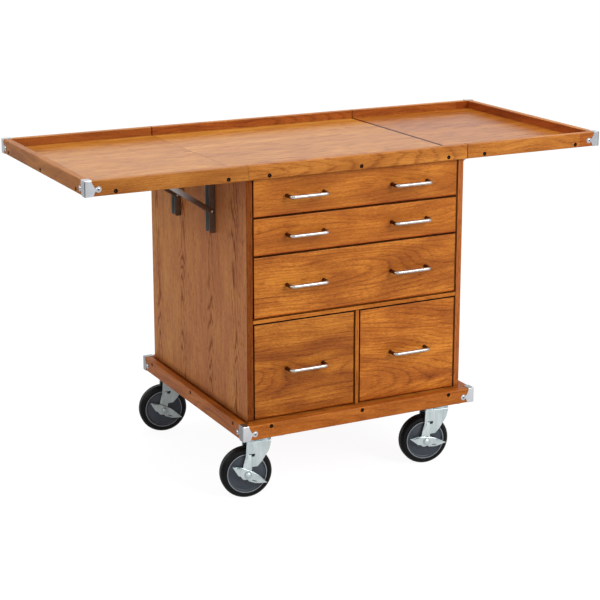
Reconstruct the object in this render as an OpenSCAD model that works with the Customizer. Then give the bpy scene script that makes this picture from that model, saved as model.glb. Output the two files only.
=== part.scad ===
// Rolling drawer cabinet in oak: a case of five drawers that stands on a tray-like base with
// four swivel casters, under a rimmed work top whose two end leaves fold down on steel brackets.
// Origin: centre of the base on the floor. +X is to the right, +Y to the back, +Z up.
// Every size is in millimetres. The leaves are drawn up and the drawers shut.

/* [Case] */
// Width of the case over its side panels
body_w = 580; // [520:5:680]
// Depth of the case
body_d = 570; // [540:5:640]
// Thickness of the side panels
side_t = 16; // [13:1:20]
// Rounding of the front edges of the side panels
side_round = 2; // [0.5:0.5:4]
// Thickness of the back panel
back_t = 9; // [6:1:12]
// How far the back panel reaches into the rebate of each side panel
back_in = 8; // [5:1:10]
// Thickness of the shelf over the lower drawers
shelf_t = 12; // [10:1:18]
// Thickness of the partition between the lower drawers
post_t = 12; // [10:1:18]

/* [Drawers] */
// Height of the opening of the top drawer
open_1 = 92; // [75:1:110]
// Height of the opening of the second drawer
open_2 = 91; // [75:1:110]
// Height of the opening of the third drawer
open_3 = 148.4; // [120:0.2:170]
// Height of the opening of the two lower drawers
open_4 = 233.6; // [200:0.2:260]
// Thickness of the drawer fronts
front_t = 18; // [15:1:22]
// Gap above and below each drawer front
front_gap = 1.6; // [1:0.1:2.4]
// Gap beside each drawer front
front_side = 2; // [1:0.1:3]
// How far the fronts lie behind the edges of the case
front_set = 1; // [0.5:0.5:3]
// Rounding of the edges of the drawer fronts
front_round = 2.5; // [1:0.5:4]
// Thickness of the walls of the drawer boxes
wall_t = 12; // [9:1:14]
// Room between the drawer boxes and the back panel
box_rear = 42; // [20:1:120]
// Thickness of the drawer floors
floor_t = 6; // [4:1:8]
// Height of the drawer floor over the lower edge of its box
floor_up = 8; // [6:1:14]
// Clearance between a drawer box and what stands beside it
box_side = 1.5; // [1:0.5:3]
// How far the box ends below the top of its opening
box_low = 10; // [6:1:20]
// Width of the wooden runners
runner_w = 14; // [13:1:20]
// Height of the wooden runners
runner_h = 12; // [8:1:16]
// Height of each runner over the bottom of its opening
runner_up = 2; // [2:1:6]
// Running clearance between a drawer box and its runners
run_gap = 0.3; // [0.2:0.1:0.5]

/* [Handles] */
// Distance between the two feet of a handle
pull_c = 96; // [64:32:128]
// Diameter of the handle rod
pull_d = 9; // [6:0.5:10]
// Distance from the drawer front to the middle of the handle bar
pull_out = 26; // [22:1:32]
// Radius of the bends of the handle, at the middle of its rod
pull_bend = 9; // [7:1:12]
// Distance of the upper drawers' handles from the sides of the case
pull_side = 151; // [90:1:200]

/* [Top tray] */
// Height of the rails of the top
top_rail_h = 35; // [30:1:45]
// Thickness of all tray rails
rail_t = 18; // [14:1:22]
// Thickness of the panels of the top and of its leaves
top_panel_t = 14; // [12:1:20]
// Thickness of the panel of the base
panel_t = 20; // [16:1:24]
// Open joint where two boards meet end to side
joint = 0.15; // [0.1:0.05:0.3]
// Rounding of the outer edges of the rails
rail_round = 3; // [1:0.5:5]
// Rounding of the upper inner edge of the rails
rail_in_round = 1.5; // [0.5:0.5:3]
// How far the top stands out in front of the case
top_front = 15; // [8:1:18]
// How far the top stands out behind the case
top_back = 5; // [2:1:18]
// Length of each folding leaf
leaf_len = 387; // [340:1:420]
// Seam between the fixed top and a leaf
seam = 0.6; // [0.5:0.1:2]

/* [Base tray] */
// Height of the rails of the base
base_rail_h = 36; // [36:1:45]
// How far the base stands out beside the case
base_side = 25.5; // [20:0.5:40]
// How far the base stands out in front of the case
base_front = 29; // [20:1:40]
// How far the base stands out behind the case
base_back = 17; // [10:1:30]

/* [Corner caps and screws] */
// Thickness of the sheet of the corner caps
cap_t = 1.2; // [0.8:0.1:2]
// Width of a corner cap at its upper edge
cap_top = 14.5; // [12:0.5:18]
// Width of a corner cap at its lower edge
cap_low = 17.5; // [14:0.5:20]
// Width of a corner cap where its neck begins
cap_wide = 22.5; // [21:0.5:25]
// Height of the neck that carries the ear
neck_h = 7; // [5:0.5:9]
// Distance of the ear's middle from the corner
ear_out = 30; // [28:1:34]
// Height of the ear's middle over the lower edge of the rail
ear_up = 15.5; // [12:0.5:18]
// Radius of the ears
ear_r = 7; // [5.5:0.5:8]
// Radius of the dark screw heads in the rails
screw_r = 4.6; // [3:0.2:6]
// Depth of the counterbores of the screws
bore_deep = 2.5; // [2:0.5:5]
// Clearance round a screw head in its counterbore
screw_gap = 0.4; // [0.2:0.1:0.8]
// Distance of the screws from the edge of a rail where the panel lies
screw_in = 8; // [6:1:12]
// Distance of the outer screws of the fixed top from its ends
top_screw = 52; // [30:1:100]
// Distance of a leaf's first screw from the seam
leaf_screw_a = 49; // [30:1:80]
// Distance of a leaf's last screw from its end
leaf_screw_b = 70; // [50:1:100]
// Distance of the outer screws of an end rail from the corners
end_screw = 55; // [45:1:100]
// Distance of the outer screws of the base's front and back from the corners
base_screw = 72.5; // [50:0.5:110]
// Distance of the outer screws of the base's sides from the corners
base_side_screw = 59; // [50:1:110]

/* [Folding brackets] */
// Distance of each bracket from the middle of the case
bracket_y = 103.5; // [70:0.5:180]
// Width of the wall channel
chan_w = 24; // [20:1:28]
// Depth of the wall channel
chan_d = 16; // [15:1:18]
// Thickness of the channel and arm sheet
sheet_t = 1.6; // [1.2:0.2:2]
// Length of the wall channel
chan_len = 154; // [135:1:200]
// Distance of the hinge pin from the side panel
pin_out = 12; // [11:0.5:12.5]
// Distance of the hinge pin below the leaf
pin_down = 12; // [11:0.5:14]
// Radius of the hinge pin
pin_r = 3; // [2.5:0.25:3.5]
// Running clearance of the pins in their bores
pin_fit = 0.1; // [0.05:0.05:0.2]
// Distance of the lower rivet from the side panel
foot_out = 9.5; // [8:0.5:10.5]
// Distance of the lower rivet below the leaf
foot_down = 105.5; // [100:0.5:110]
// Radius of the lower rivet
foot_r = 2.5; // [2:0.25:3]
// Length of a strap between its two pivots
strap_len = 172.5; // [165:0.5:180]
// Height of a strap
strap_h = 12; // [10:0.5:13]
// Thickness of a strap
strap_t = 2; // [1.5:0.25:2.5]
// Side clearance between the sheets of a bracket
side_gap = 0.3; // [0.2:0.1:0.5]
// Height of a rivet head
head_h = 1.8; // [1.2:0.2:2.4]
// Length of the arm under a leaf beyond the end of its slots
arm_end = 22; // [14:1:60]
// How far the arm's cheeks reach below the hinge pin
arm_low = 4; // [3.5:0.5:6]

/* [Casters] */
// Distance of the swivel axes from the sides of the base
caster_side = 70; // [68:0.5:90]
// Distance of the swivel axes from the front and back of the base
caster_end = 52.7; // [50:0.1:80]
// Height of a caster from the floor to its plate's upper face
caster_h = 160; // [158:1:170]
// Diameter of the wheels
wheel_d = 125; // [115:1:128]
// Width of the wheels
wheel_w = 32; // [28:1:34]
// Distance of the axle from the swivel axis
trail = 38; // [34:1:42]
// Direction in which the wheels trail
heading = 169; // [0:1:359]
// Radius at which the tyre begins
core_r = 48.5; // [44:0.5:50]
// How far the tread's edge lies under its middle
crown = 7; // [3:0.5:8]
// Half width of the tread that keeps the full diameter
crown_flat = 6; // [3:1:10]
// Length of the mounting plate
plate_x = 100; // [92:1:102]
// Width of the mounting plate
plate_y = 84; // [80:1:90]
// Thickness of the mounting plate
plate_t = 3; // [2:0.5:4]
// Radius of the swivel race
race_r = 29; // [26:1:30]
// Height of the cup of the swivel race
race_h = 7; // [5:0.5:8]
// Thickness of the fork's sheet
fork_t = 3; // [2.5:0.5:4]
// Clearance between the wheel and the cheeks of the fork
cheek_gap = 3; // [2.5:0.5:5]
// Radius of the swivel pin
king_r = 6; // [5:0.5:7]
// Radius of the axle bolt
axle_r = 6; // [5:0.5:6.5]
// Distance between the brake lever's plate and the cheek
lever_off = 1.6; // [1.6:0.1:3]
// Thickness of the brake lever's plate
lever_t = 2; // [1.5:0.5:3]
// How far the lever's foot tabs stand out
tab_out = 8; // [5:1:12]
// Tilt of three of the brake levers
tilt_a = 27; // [8:1:27]
// Tilt of the front right brake lever
tilt_b = 8; // [8:1:27]

/* [Hidden] */
$fn = 48;

// Heights
base_z = caster_h;
body_z = base_z + base_rail_h;
z4 = body_z;
shelf_z = z4 + open_4;
z3 = shelf_z + shelf_t;
z2 = z3 + open_3;
z1 = z2 + open_2;
body_top = z1 + open_1;
body_h = body_top - body_z;
top_z = body_top + top_rail_h;

// Plan
body_x = body_w / 2;
in_x = body_x - side_t;
base_x = body_x + base_side;
base_d = body_d + base_front + base_back;
base_y = base_d / 2;
body_y0 = base_front - base_y;
body_y1 = body_y0 + body_d;
body_mid = (body_y0 + body_y1) / 2;
back_y = body_y1 - back_t;
caster_x = base_x - caster_side;
caster_y = base_y - caster_end;
top_y0 = body_y0 - top_front;
top_y1 = body_y1 + top_back;
leaf_x0 = body_x + seam;
leaf_x1 = leaf_x0 + leaf_len;
front_y = body_y0 + front_set;
box_y0 = front_y + front_t;
box_len = back_y - box_y0 - box_rear;
pull_x = body_x - pull_side;
top_screw_x = body_x - top_screw;
end_screw_y = (top_y1 - top_y0) / 2 - end_screw;
base_screw_x = base_x - base_screw;
base_screw_y = base_y - base_side_screw;

// Brackets: positions are taken from the hinge pin
pin_x = body_x + pin_out;
pin_z = body_top - pin_down;
foot_x = body_x + foot_out;
foot_z = body_top - foot_down;
strap_in = chan_w / 2 + side_gap;
strap_outer = strap_in + strap_t;
arm_in = strap_outer + head_h + 2 * side_gap;
arm_outer = arm_in + sheet_t;
slot_e = 3;
strap_rise = foot_down - pin_down + slot_e;
strap_a = asin(strap_rise / strap_len);
lug_r = 7;
// Reach of the strap's tip beyond the hinge pin, with the leaf up and with the leaf down
tip_up = foot_out - pin_out + strap_len * cos(strap_a);
tip_down = foot_down - pin_down + sqrt(pow(strap_len, 2) - pow(pin_out - foot_out + slot_e, 2));
arm_len = tip_down + arm_end;

// Casters
hub_z = wheel_d / 2;
cheek_in = wheel_w / 2 + cheek_gap;
cheek_out = cheek_in + fork_t;
plate_z = caster_h - plate_t;
cup_z = plate_z - race_h;
race_up = 3.7;
head_z = cup_z - run_gap - race_up;
lever_y = cheek_out + lever_off;
bolt_end = lever_y + lever_t;
spots = [[-1, -1], [1, -1], [-1, 1], [1, 1]];
tilts = [tilt_a, tilt_b, tilt_a, tilt_a];

oak = "#b5652b";
oak_pale = "#c98a4e";
oak_top = "#c27c45";
steel_dark = "#4a4038";
zinc = "#c9d4d2";
nickel = "#d9d9d6";

// ---- Case

// Plan of the right side panel, with a rebate for the back panel
module side_plan() {
  r = side_round;
  difference() {
    union() {
      translate([in_x, body_y0 + r]) square([side_t, body_d - r]);
      translate([in_x + r, body_y0]) square([side_t - 2 * r, r + 1]);
      translate([in_x + r, body_y0 + r]) circle(r);
      translate([body_x - r, body_y0 + r]) circle(r);
    }
    translate([in_x - 1, back_y]) square([back_in + 1, back_t + 1]);
  }
}

module side_panels() {
  color(oak)
  for (s = [-1, 1])
    scale([s, 1, 1]) translate([0, 0, body_z]) linear_extrude(body_h) side_plan();
}

module back_panel() {
  color(oak)
  translate([-in_x - back_in, back_y, body_z]) cube([2 * (in_x + back_in), back_t, body_h]);
}

// Shelf over the lower drawers, and the partition between them
module dividers() {
  color(oak) {
    translate([-in_x, body_y0, shelf_z]) cube([2 * in_x, back_y - body_y0, shelf_t]);
    translate([-post_t / 2, body_y0, body_z]) cube([post_t, back_y - body_y0, open_4 - joint]);
  }
}

// One runner that stands on the face at x and reaches towards +X
module runner(x, z) {
  translate([x, box_y0 + 2, z + runner_up]) cube([runner_w, back_y - box_y0 - 2, runner_h]);
}

module drawer_runners() {
  color(oak_pale) {
    for (z = [z1, z2, z3, z4])
      for (s = [-1, 1])
        scale([s, 1, 1]) runner(in_x - runner_w, z);
    for (s = [-1, 1])
      scale([s, 1, 1]) runner(post_t / 2, z4);
  }
}

// ---- Trays

// Cross-section of a rail: x runs inwards from its outer face, y upwards
module rail_profile(h) {
  r = rail_round;
  q = rail_in_round;
  translate([r, 0]) square([rail_t - r, h - q]);
  translate([0, r]) square([rail_t, h - 2 * r]);
  translate([r, 0]) square([rail_t - r - q, h]);
  translate([r, r]) circle(r);
  translate([r, h - r]) circle(r);
  translate([rail_t - q, h - q]) circle(q);
}

// Rail along +X from the origin, with its outer face at y = 0 looking to -Y
module rail_along_x(len, h) {
  rotate([90, 0, 90]) linear_extrude(len) rail_profile(h);
}

// Rail along +Y from the origin, with its outer face at x = 0 looking to -X
module rail_along_y(len, h) {
  translate([0, len, 0]) rotate([90, 0, 0]) linear_extrude(len) rail_profile(h);
}

// Counterbore and screw head at the origin, in a face that looks to -Y
module counterbore() {
  translate([0, bore_deep, 0]) rotate([90, 0, 0]) cylinder(r = screw_r + screw_gap, h = bore_deep + 1);
}

module screw_head() {
  flat = bore_deep * 0.6;
  translate([0, bore_deep, 0]) rotate([90, 0, 0]) {
    cylinder(r = screw_r, h = flat);
    translate([0, 0, flat]) cylinder(r1 = screw_r, r2 = screw_r * 0.6, h = bore_deep - flat);
  }
}

// Places its children at every screw of the fixed top, facing outwards
module at_top_screws() {
  for (x = [-top_screw_x, 0, top_screw_x]) {
    translate([x, top_y0, body_top + screw_in]) children();
    translate([x, top_y1, body_top + screw_in]) rotate([0, 0, 180]) children();
  }
}

// The same for one leaf, with the leaf on the +X side
module at_leaf_rail_screws() {
  for (x = [leaf_x0 + leaf_screw_a, leaf_x1 - leaf_screw_b]) {
    translate([x, top_y0, body_top + screw_in]) children();
    translate([x, top_y1, body_top + screw_in]) rotate([0, 0, 180]) children();
  }
}

module at_leaf_end_screws() {
  for (y = [-end_screw_y, 0, end_screw_y])
    translate([leaf_x1, body_mid + y, body_top + screw_in]) rotate([0, 0, 90]) children();
}

// The same for the base, whose panel lies at the top of its rails
module at_base_screws() {
  for (x = [-base_screw_x, 0, base_screw_x])
    for (s = [0, 180])
      rotate([0, 0, s]) translate([x, -base_y, body_z - screw_in]) children();
  for (y = [-base_screw_y, 0, base_screw_y])
    for (s = [90, 270])
      rotate([0, 0, s]) translate([y, -base_x, body_z - screw_in]) children();
}

module top_panel() {
  color(oak_top)
  translate([-body_x, top_y0 + rail_t, body_top])
    cube([body_w, top_y1 - top_y0 - 2 * rail_t, top_panel_t]);
}

module top_rails() {
  color(oak)
  difference() {
    union() {
      translate([-body_x, top_y0, body_top]) rail_along_x(body_w, top_rail_h);
      translate([body_x, top_y1, body_top]) rotate([0, 0, 180]) rail_along_x(body_w, top_rail_h);
    }
    at_top_screws() counterbore();
  }
}

module base_panel() {
  color(oak)
  translate([rail_t - base_x, rail_t - base_y, body_z - panel_t])
    cube([2 * (base_x - rail_t), 2 * (base_y - rail_t), panel_t]);
}

module base_rails() {
  color(oak)
  difference() {
    for (s = [0, 180])
      rotate([0, 0, s]) {
        translate([-base_x, -base_y, base_z]) rail_along_x(2 * base_x, base_rail_h);
        translate([-base_x, rail_t - base_y + joint, base_z])
          rail_along_y(2 * (base_y - rail_t - joint), base_rail_h);
      }
    at_base_screws() counterbore();
  }
}

module panel_screws() {
  color(steel_dark) {
    at_top_screws() screw_head();
    at_base_screws() screw_head();
  }
}

module caster_pads() {
  pad_h = base_rail_h - panel_t;
  pad_x = base_x - rail_t - (caster_x - plate_x / 2);
  pad_y = base_y - rail_t - (caster_y - plate_y / 2);
  color(oak_pale)
  for (s = spots)
    scale([s[0], s[1], 1])
      translate([caster_x - plate_x / 2, caster_y - plate_y / 2, base_z]) cube([pad_x, pad_y, pad_h]);
}

// ---- Corner caps

// Outline of one face of a cap: x runs away from the corner, y upwards
module cap_outline(h) {
  n = neck_h / 2;
  polygon([[0, 0], [cap_low, 0], [cap_low + 2, 4], [cap_wide - 1, ear_up - n - 3], [cap_wide + 1, ear_up - n],
    [cap_wide + 1, ear_up + n], [cap_wide - 2, ear_up + n + 2], [cap_wide - 4, ear_up + n + 6],
    [cap_top + 1.5, h - 6], [cap_top, h], [0, h]]);
  translate([cap_wide, ear_up - n]) square([ear_out - cap_wide, neck_h]);
  translate([ear_out, ear_up]) circle(ear_r);
}

// Round cap screw that stands on a face looking to -Y
module cap_screw() {
  rotate([90, 0, 0]) {
    cylinder(r = ear_r * 0.66, h = 1);
    translate([0, 0, 1]) cylinder(r1 = ear_r * 0.66, r2 = ear_r * 0.4, h = 0.9);
  }
}

// Cap on the corner at the origin, of rails that run to +X and +Y and are h high
module cap(h) {
  rotate([90, 0, 0]) linear_extrude(cap_t) cap_outline(h);
  translate([-cap_t, 0, 0]) rotate([90, 0, 90]) linear_extrude(cap_t) cap_outline(h);
  rotate([0, 0, 180]) rotate_extrude(angle = 90) square([cap_t, h + cap_t]);
  translate([0, 0, h]) linear_extrude(cap_t) {
    translate([0, -cap_t]) square([cap_top, cap_t]);
    translate([-cap_t, 0]) square([cap_t, cap_top]);
    polygon([[0, 0], [cap_top, 0], [cap_top, 6], [6, cap_top], [0, cap_top]]);
  }
  translate([ear_out, -cap_t, ear_up]) cap_screw();
  translate([-cap_t, ear_out, ear_up]) rotate([0, 0, -90]) cap_screw();
}

module base_caps() {
  color(nickel)
  for (s = spots)
    scale([s[0], s[1], 1]) translate([-base_x, -base_y, base_z]) cap(base_rail_h);
}

// ---- Leaves, drawn on the +X side and mirrored for the left one

module leaf_panel() {
  color(oak_top)
  translate([leaf_x0, top_y0 + rail_t, body_top])
    cube([leaf_len - rail_t, top_y1 - top_y0 - 2 * rail_t, top_panel_t]);
}

module leaf_rails() {
  side = top_y1 - top_y0 - 2 * rail_t - 2 * joint;
  color(oak)
  difference() {
    union() {
      translate([leaf_x0, top_y0, body_top]) rail_along_x(leaf_len, top_rail_h);
      translate([leaf_x1, top_y1, body_top]) rotate([0, 0, 180]) rail_along_x(leaf_len, top_rail_h);
      translate([leaf_x1, top_y1 - rail_t - joint, body_top]) rotate([0, 0, 180])
        rail_along_y(side, top_rail_h);
    }
    at_leaf_rail_screws() counterbore();
    at_leaf_end_screws() counterbore();
  }
}

module leaf_screws() {
  color(steel_dark) {
    at_leaf_rail_screws() screw_head();
    at_leaf_end_screws() screw_head();
  }
}

module leaf_caps() {
  color(nickel) {
    translate([leaf_x1, top_y0, body_top]) scale([-1, 1, 1]) cap(top_rail_h);
    translate([leaf_x1, top_y1, body_top]) scale([-1, -1, 1]) cap(top_rail_h);
  }
}

// ---- Folding brackets, drawn on the +X side

module at_brackets() {
  for (y = [-bracket_y, bracket_y])
    translate([0, body_mid + y, 0]) children();
}

// Pin across a bracket, with a head at each end
module cross_pin(r, half, head_r, head) {
  translate([0, half, 0]) rotate([90, 0, 0]) cylinder(r = r, h = 2 * half);
  for (s = [0, 180])
    rotate([0, 0, s]) translate([0, half, 0]) rotate([-90, 0, 0]) {
      cylinder(r = head_r, h = head * 0.5);
      translate([0, 0, head * 0.5]) cylinder(r1 = head_r, r2 = head_r * 0.6, h = head * 0.5);
    }
}

// Channel on the side panel, open outwards, with the hinge pin and the lower rivet through it
module wall_channel() {
  chan_top = pin_z + pin_down - sheet_t - 2.4;
  low = chan_top - chan_len;
  difference() {
    translate([body_x, -chan_w / 2, low]) cube([chan_d, chan_w, chan_len]);
    translate([body_x + sheet_t, sheet_t - chan_w / 2, low - 1])
      cube([chan_d, chan_w - 2 * sheet_t, chan_len + 2]);
  }
  translate([pin_x, 0, pin_z]) cross_pin(pin_r, arm_outer + side_gap, pin_r + 2, head_h);
  translate([foot_x, 0, foot_z]) cross_pin(foot_r, strap_outer + side_gap / 2, foot_r + 2, head_h);
}

module wall_channels() {
  color(steel_dark)
  for (s = [-1, 1])
    scale([s, 1, 1]) at_brackets() wall_channel();
}

// Arm under the leaf: a channel open downwards, with a slot in each cheek for the strap's pin
module leaf_arm() {
  difference() {
    translate([pin_x, 0, pin_z]) {
      translate([-lug_r, -arm_outer, pin_down - sheet_t]) cube([arm_len + lug_r, 2 * arm_outer, sheet_t]);
      for (s = [-1, 1])
        scale([1, s, 1]) translate([0, arm_outer, 0]) rotate([90, 0, 0]) linear_extrude(sheet_t) {
          translate([0, -arm_low]) square([arm_len - 10, pin_down + arm_low]);
          translate([-lug_r, 0]) square([arm_len + lug_r, pin_down]);
          circle(lug_r);
        }
    }
    translate([pin_x, arm_outer + 1, pin_z]) rotate([90, 0, 0])
      cylinder(r = pin_r + pin_fit, h = 2 * arm_outer + 2);
    translate([pin_x + tip_up, arm_outer + 1, pin_z + slot_e]) rotate([90, 0, 0])
      linear_extrude(2 * arm_outer + 2) {
        translate([0, -pin_r - 0.3]) square([tip_down - tip_up, 2 * pin_r + 0.6]);
        circle(pin_r + 0.3);
        translate([tip_down - tip_up, 0]) circle(pin_r + 0.3);
      }
  }
}

module leaf_arms() {
  color(steel_dark) at_brackets() leaf_arm();
}

// Pair of straps from the lower rivet to the arm, joined by the pin that runs in the slots
module brace_pair() {
  translate([foot_x, 0, foot_z]) rotate([0, -strap_a, 0]) {
    for (s = [-1, 1])
      scale([1, s, 1])
        difference() {
          translate([0, strap_outer, 0]) rotate([90, 0, 0]) linear_extrude(strap_t) {
            translate([0, -strap_h / 2]) square([strap_len, strap_h]);
            circle(strap_h / 2);
            translate([strap_len, 0]) circle(strap_h / 2);
          }
          translate([0, strap_outer + 1, 0]) rotate([90, 0, 0])
            cylinder(r = foot_r + pin_fit, h = strap_t + 2);
        }
    translate([strap_len, arm_in - side_gap, 0]) rotate([90, 0, 0])
      cylinder(r = pin_r, h = 2 * (arm_in - side_gap));
  }
}

module braces() {
  color(steel_dark) at_brackets() brace_pair();
}

// ---- Drawers

// Drawer front with rounded edges between x0 and x1, in the opening from z, h high
module drawer_front(x0, x1, z, h) {
  r = front_round;
  w = x1 - x0 - 2 * front_side;
  t = h - 2 * front_gap;
  color(oak)
  translate([x0 + front_side, front_y, z + front_gap])
    intersection() {
      rotate([90, 0, 90]) linear_extrude(w) {
        translate([r, 0]) square([front_t - r, t]);
        translate([0, r]) square([front_t, t - 2 * r]);
        translate([r, r]) circle(r);
        translate([r, t - r]) circle(r);
      }
      linear_extrude(t) {
        translate([0, r]) square([w, front_t - r]);
        translate([r, 0]) square([w - 2 * r, front_t]);
        translate([r, r]) circle(r);
        translate([w - r, r]) circle(r);
      }
    }
}

// Open box behind a front, on its runners
module drawer_box(x0, x1, z, h) {
  low = z + runner_up + runner_h + run_gap;
  tall = z + h - box_low - low;
  w = x1 - x0 - 2 * box_side;
  color(oak_pale)
  translate([x0 + box_side, box_y0, low])
    difference() {
      cube([w, box_len, tall]);
      translate([wall_t, wall_t, floor_up + floor_t])
        cube([w - 2 * wall_t, box_len - 2 * wall_t, tall]);
      translate([wall_t, wall_t, -1]) cube([w - 2 * wall_t, box_len - 2 * wall_t, floor_up + 1]);
    }
}

// Bent rod handle: its feet stand on the drawer front and its bar runs along X
module pull(x, z) {
  r = pull_d / 2;
  reach = pull_out - pull_bend;
  color(nickel)
  translate([x, front_y, z])
    for (s = [-1, 1])
      scale([s, 1, 1]) {
        translate([pull_c / 2, 0, 0]) rotate([90, 0, 0]) cylinder(r = r, h = reach);
        translate([pull_c / 2 - pull_bend, -reach, 0])
          rotate([0, 0, -90]) rotate_extrude(angle = 90) translate([pull_bend, 0]) circle(r);
        translate([0, -pull_out, 0]) rotate([0, 90, 0])
          cylinder(r = r, h = pull_c / 2 - pull_bend);
      }
}

module front_1() { drawer_front(-in_x, in_x, z1, open_1); }
module box_1() { drawer_box(-in_x, in_x, z1, open_1); }
module handles_1() { for (s = [-1, 1]) pull(s * pull_x, z1 + open_1 / 2); }
module front_2() { drawer_front(-in_x, in_x, z2, open_2); }
module box_2() { drawer_box(-in_x, in_x, z2, open_2); }
module handles_2() { for (s = [-1, 1]) pull(s * pull_x, z2 + open_2 / 2); }
module front_3() { drawer_front(-in_x, in_x, z3, open_3); }
module box_3() { drawer_box(-in_x, in_x, z3, open_3); }
module handles_3() { for (s = [-1, 1]) pull(s * pull_x, z3 + open_3 / 2); }
module front_4() { drawer_front(-in_x, -post_t / 2, z4, open_4); }
module box_4() { drawer_box(-in_x, -post_t / 2, z4, open_4); }
module handle_4() { pull(-(in_x + post_t / 2) / 2, z4 + open_4 / 2); }
module front_5() { drawer_front(post_t / 2, in_x, z4, open_4); }
module box_5() { drawer_box(post_t / 2, in_x, z4, open_4); }
module handle_5() { pull((in_x + post_t / 2) / 2, z4 + open_4 / 2); }

// ---- Casters, drawn with the swivel axis at the origin and the wheel trailing to +X

module at_caster(i) {
  translate([spots[i][0] * caster_x, spots[i][1] * caster_y, 0]) children();
}

module turned(i) {
  at_caster(i) rotate([0, 0, heading]) children();
}

// Mounting plate with its bolts, the cup of the race and the swivel pin
module caster_plate() {
  translate([-plate_x / 2, -plate_y / 2, plate_z]) cube([plate_x, plate_y, plate_t]);
  for (x = [-1, 1])
    for (y = [-1, 1])
      translate([x * (plate_x / 2 - 11), y * (plate_y / 2 - 11), plate_z - 4])
        cylinder(r = 6, h = 5, $fn = 6);
  difference() {
    translate([0, 0, cup_z]) cylinder(r1 = race_r - 2, r2 = race_r, h = race_h);
    translate([0, 0, cup_z - 1]) cylinder(r = king_r + 6, h = race_h - 2);
  }
  translate([0, 0, head_z - fork_t - run_gap]) cylinder(r = king_r, h = plate_z - head_z + fork_t + 1);
  translate([0, 0, head_z - fork_t - run_gap - 4]) cylinder(r = king_r + 4, h = 4);
}

module caster_plates() {
  color(zinc)
  for (i = [0:3]) at_caster(i) caster_plate();
}

// Outline of a cheek of the fork: x is the trail direction, y is up
module cheek_outline() {
  polygon([[-20, head_z], [-20, head_z - 6], [-16, head_z - 26], [-7, head_z - 40], [2, head_z - 54],
    [trail - 25, hub_z + 19], [trail - 11, hub_z + 18], [trail - 10, hub_z], [trail + 10, hub_z],
    [trail + 12, hub_z + 13],
    [trail + 8, head_z - 51], [trail + 4, head_z - 39], [trail + 2, head_z - 6],
    [trail + 2, head_z]]);
  translate([trail, hub_z]) circle(10.2);
}

module fork() {
  difference() {
    union() {
      for (s = [-1, 1])
        scale([1, s, 1])
          translate([0, cheek_out, 0]) rotate([90, 0, 0]) linear_extrude(fork_t) cheek_outline();
      translate([-20, -cheek_out, head_z - fork_t]) cube([trail + 22, 2 * cheek_out, fork_t]);
      translate([0, 0, head_z - 1]) cylinder(r1 = race_r - 3, r2 = race_r - 5, h = race_up + 1);
    }
    translate([0, 0, head_z - fork_t - 1]) cylinder(r = king_r + pin_fit, h = fork_t + race_up + 3);
    translate([0, 0, head_z - fork_t - 9]) cylinder(r = king_r + 5, h = 9);
    translate([trail, cheek_out + 1, hub_z]) rotate([90, 0, 0])
      cylinder(r = axle_r + pin_fit, h = 2 * cheek_out + 2);
    translate([trail - 11, cheek_in - 1, hub_z + 43]) cube([12, fork_t + 2, 7]);
  }
  // Spring strip that comes out of the slot and holds the lever in its two positions
  translate([trail, cheek_out + 1.1, hub_z]) rotate([90, 0, 0]) linear_extrude(1.1)
    polygon([[12, 15], [-7, 15], [-9, 36], [-9, 48], [-1, 48], [-1, 41], [3, 35], [10, 26]]);
}

// Axle bolt: a head outside the far cheek, a nut outside the brake lever
module axle() {
  far = cheek_out;
  translate([0, bolt_end + 1, 0]) rotate([90, 0, 0]) cylinder(r = axle_r, h = bolt_end + far + 1);
  translate([0, -far, 0]) rotate([90, 0, 0]) cylinder(r = axle_r + 3.8, h = 5, $fn = 6);
  translate([0, bolt_end + 5.2, 0]) rotate([90, 0, 0]) cylinder(r = axle_r + 1.8, h = 5);
}

// The hub, the dished disc and the rim that carries the tyre, as one turned shape
module wheel_core() {
  half = wheel_w / 2;
  hub = half + cheek_gap - 0.5;
  side = [[axle_r + pin_fit, hub], [axle_r + 9, hub], [axle_r + 11, hub - 2],
    [axle_r + 13, half - 4], [core_r - 5, half - 3], [core_r - 2.5, half], [core_r, half]];
  rotate([90, 0, 0]) rotate_extrude($fn = 96)
    polygon(concat(side, [for (i = [len(side) - 1:-1:0]) [side[i][0], -side[i][1]]]));
}

function tread(w) = wheel_d / 2 - crown * pow(max(0, abs(w) - crown_flat) / (wheel_w / 2 - crown_flat), 2);

module tyre() {
  half = wheel_w / 2;
  steps = 12;
  rotate([90, 0, 0]) rotate_extrude($fn = 96)
    polygon(concat([[core_r, half], [core_r, -half]],
      [for (i = [0:steps]) let (w = -half + i * wheel_w / steps) [tread(w), w]]));
}

// Rocker brake lever on the axle bolt: two pointed wings with bent-out foot tabs
module brake_lever() {
  translate([0, bolt_end, 0]) rotate([90, 0, 0]) linear_extrude(lever_t)
    difference() {
      union() {
        polygon([[43, 3], [26, 9], [11, 10], [-9, 10], [-25, 9], [-51, 0], [-37, -8], [-24, -13],
          [-9, -14], [-5, -11], [3, -15.5], [9, -14], [13, -11], [20, -11.5], [31, -5]]);
        circle(axle_r + 6);
      }
      circle(axle_r + pin_fit);
      translate([-27, -9]) square([11, 3]);
    }
  translate([-41, bolt_end - 0.5, 0]) rotate([0, -19.5, 0]) translate([0, 0, 1.7]) cube([16, tab_out, 1.8]);
  translate([20, bolt_end - 0.5, 7]) rotate([0, 19, 0]) translate([0, 0, 0.6]) cube([15, tab_out, 1.8]);
}

module wheel_at(i) {
  turned(i) translate([trail, 0, hub_z]) children();
}

module fork_n(i) { color(zinc) turned(i) fork(); }
module axle_n(i) { color(nickel) wheel_at(i) axle(); }
module core_n(i) { color("#5d6770") wheel_at(i) wheel_core(); }
module tyre_n(i) { color("#161616") wheel_at(i) tyre(); }
module lever_n(i) { color(zinc) wheel_at(i) rotate([0, -tilts[i], 0]) brake_lever(); }

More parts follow.
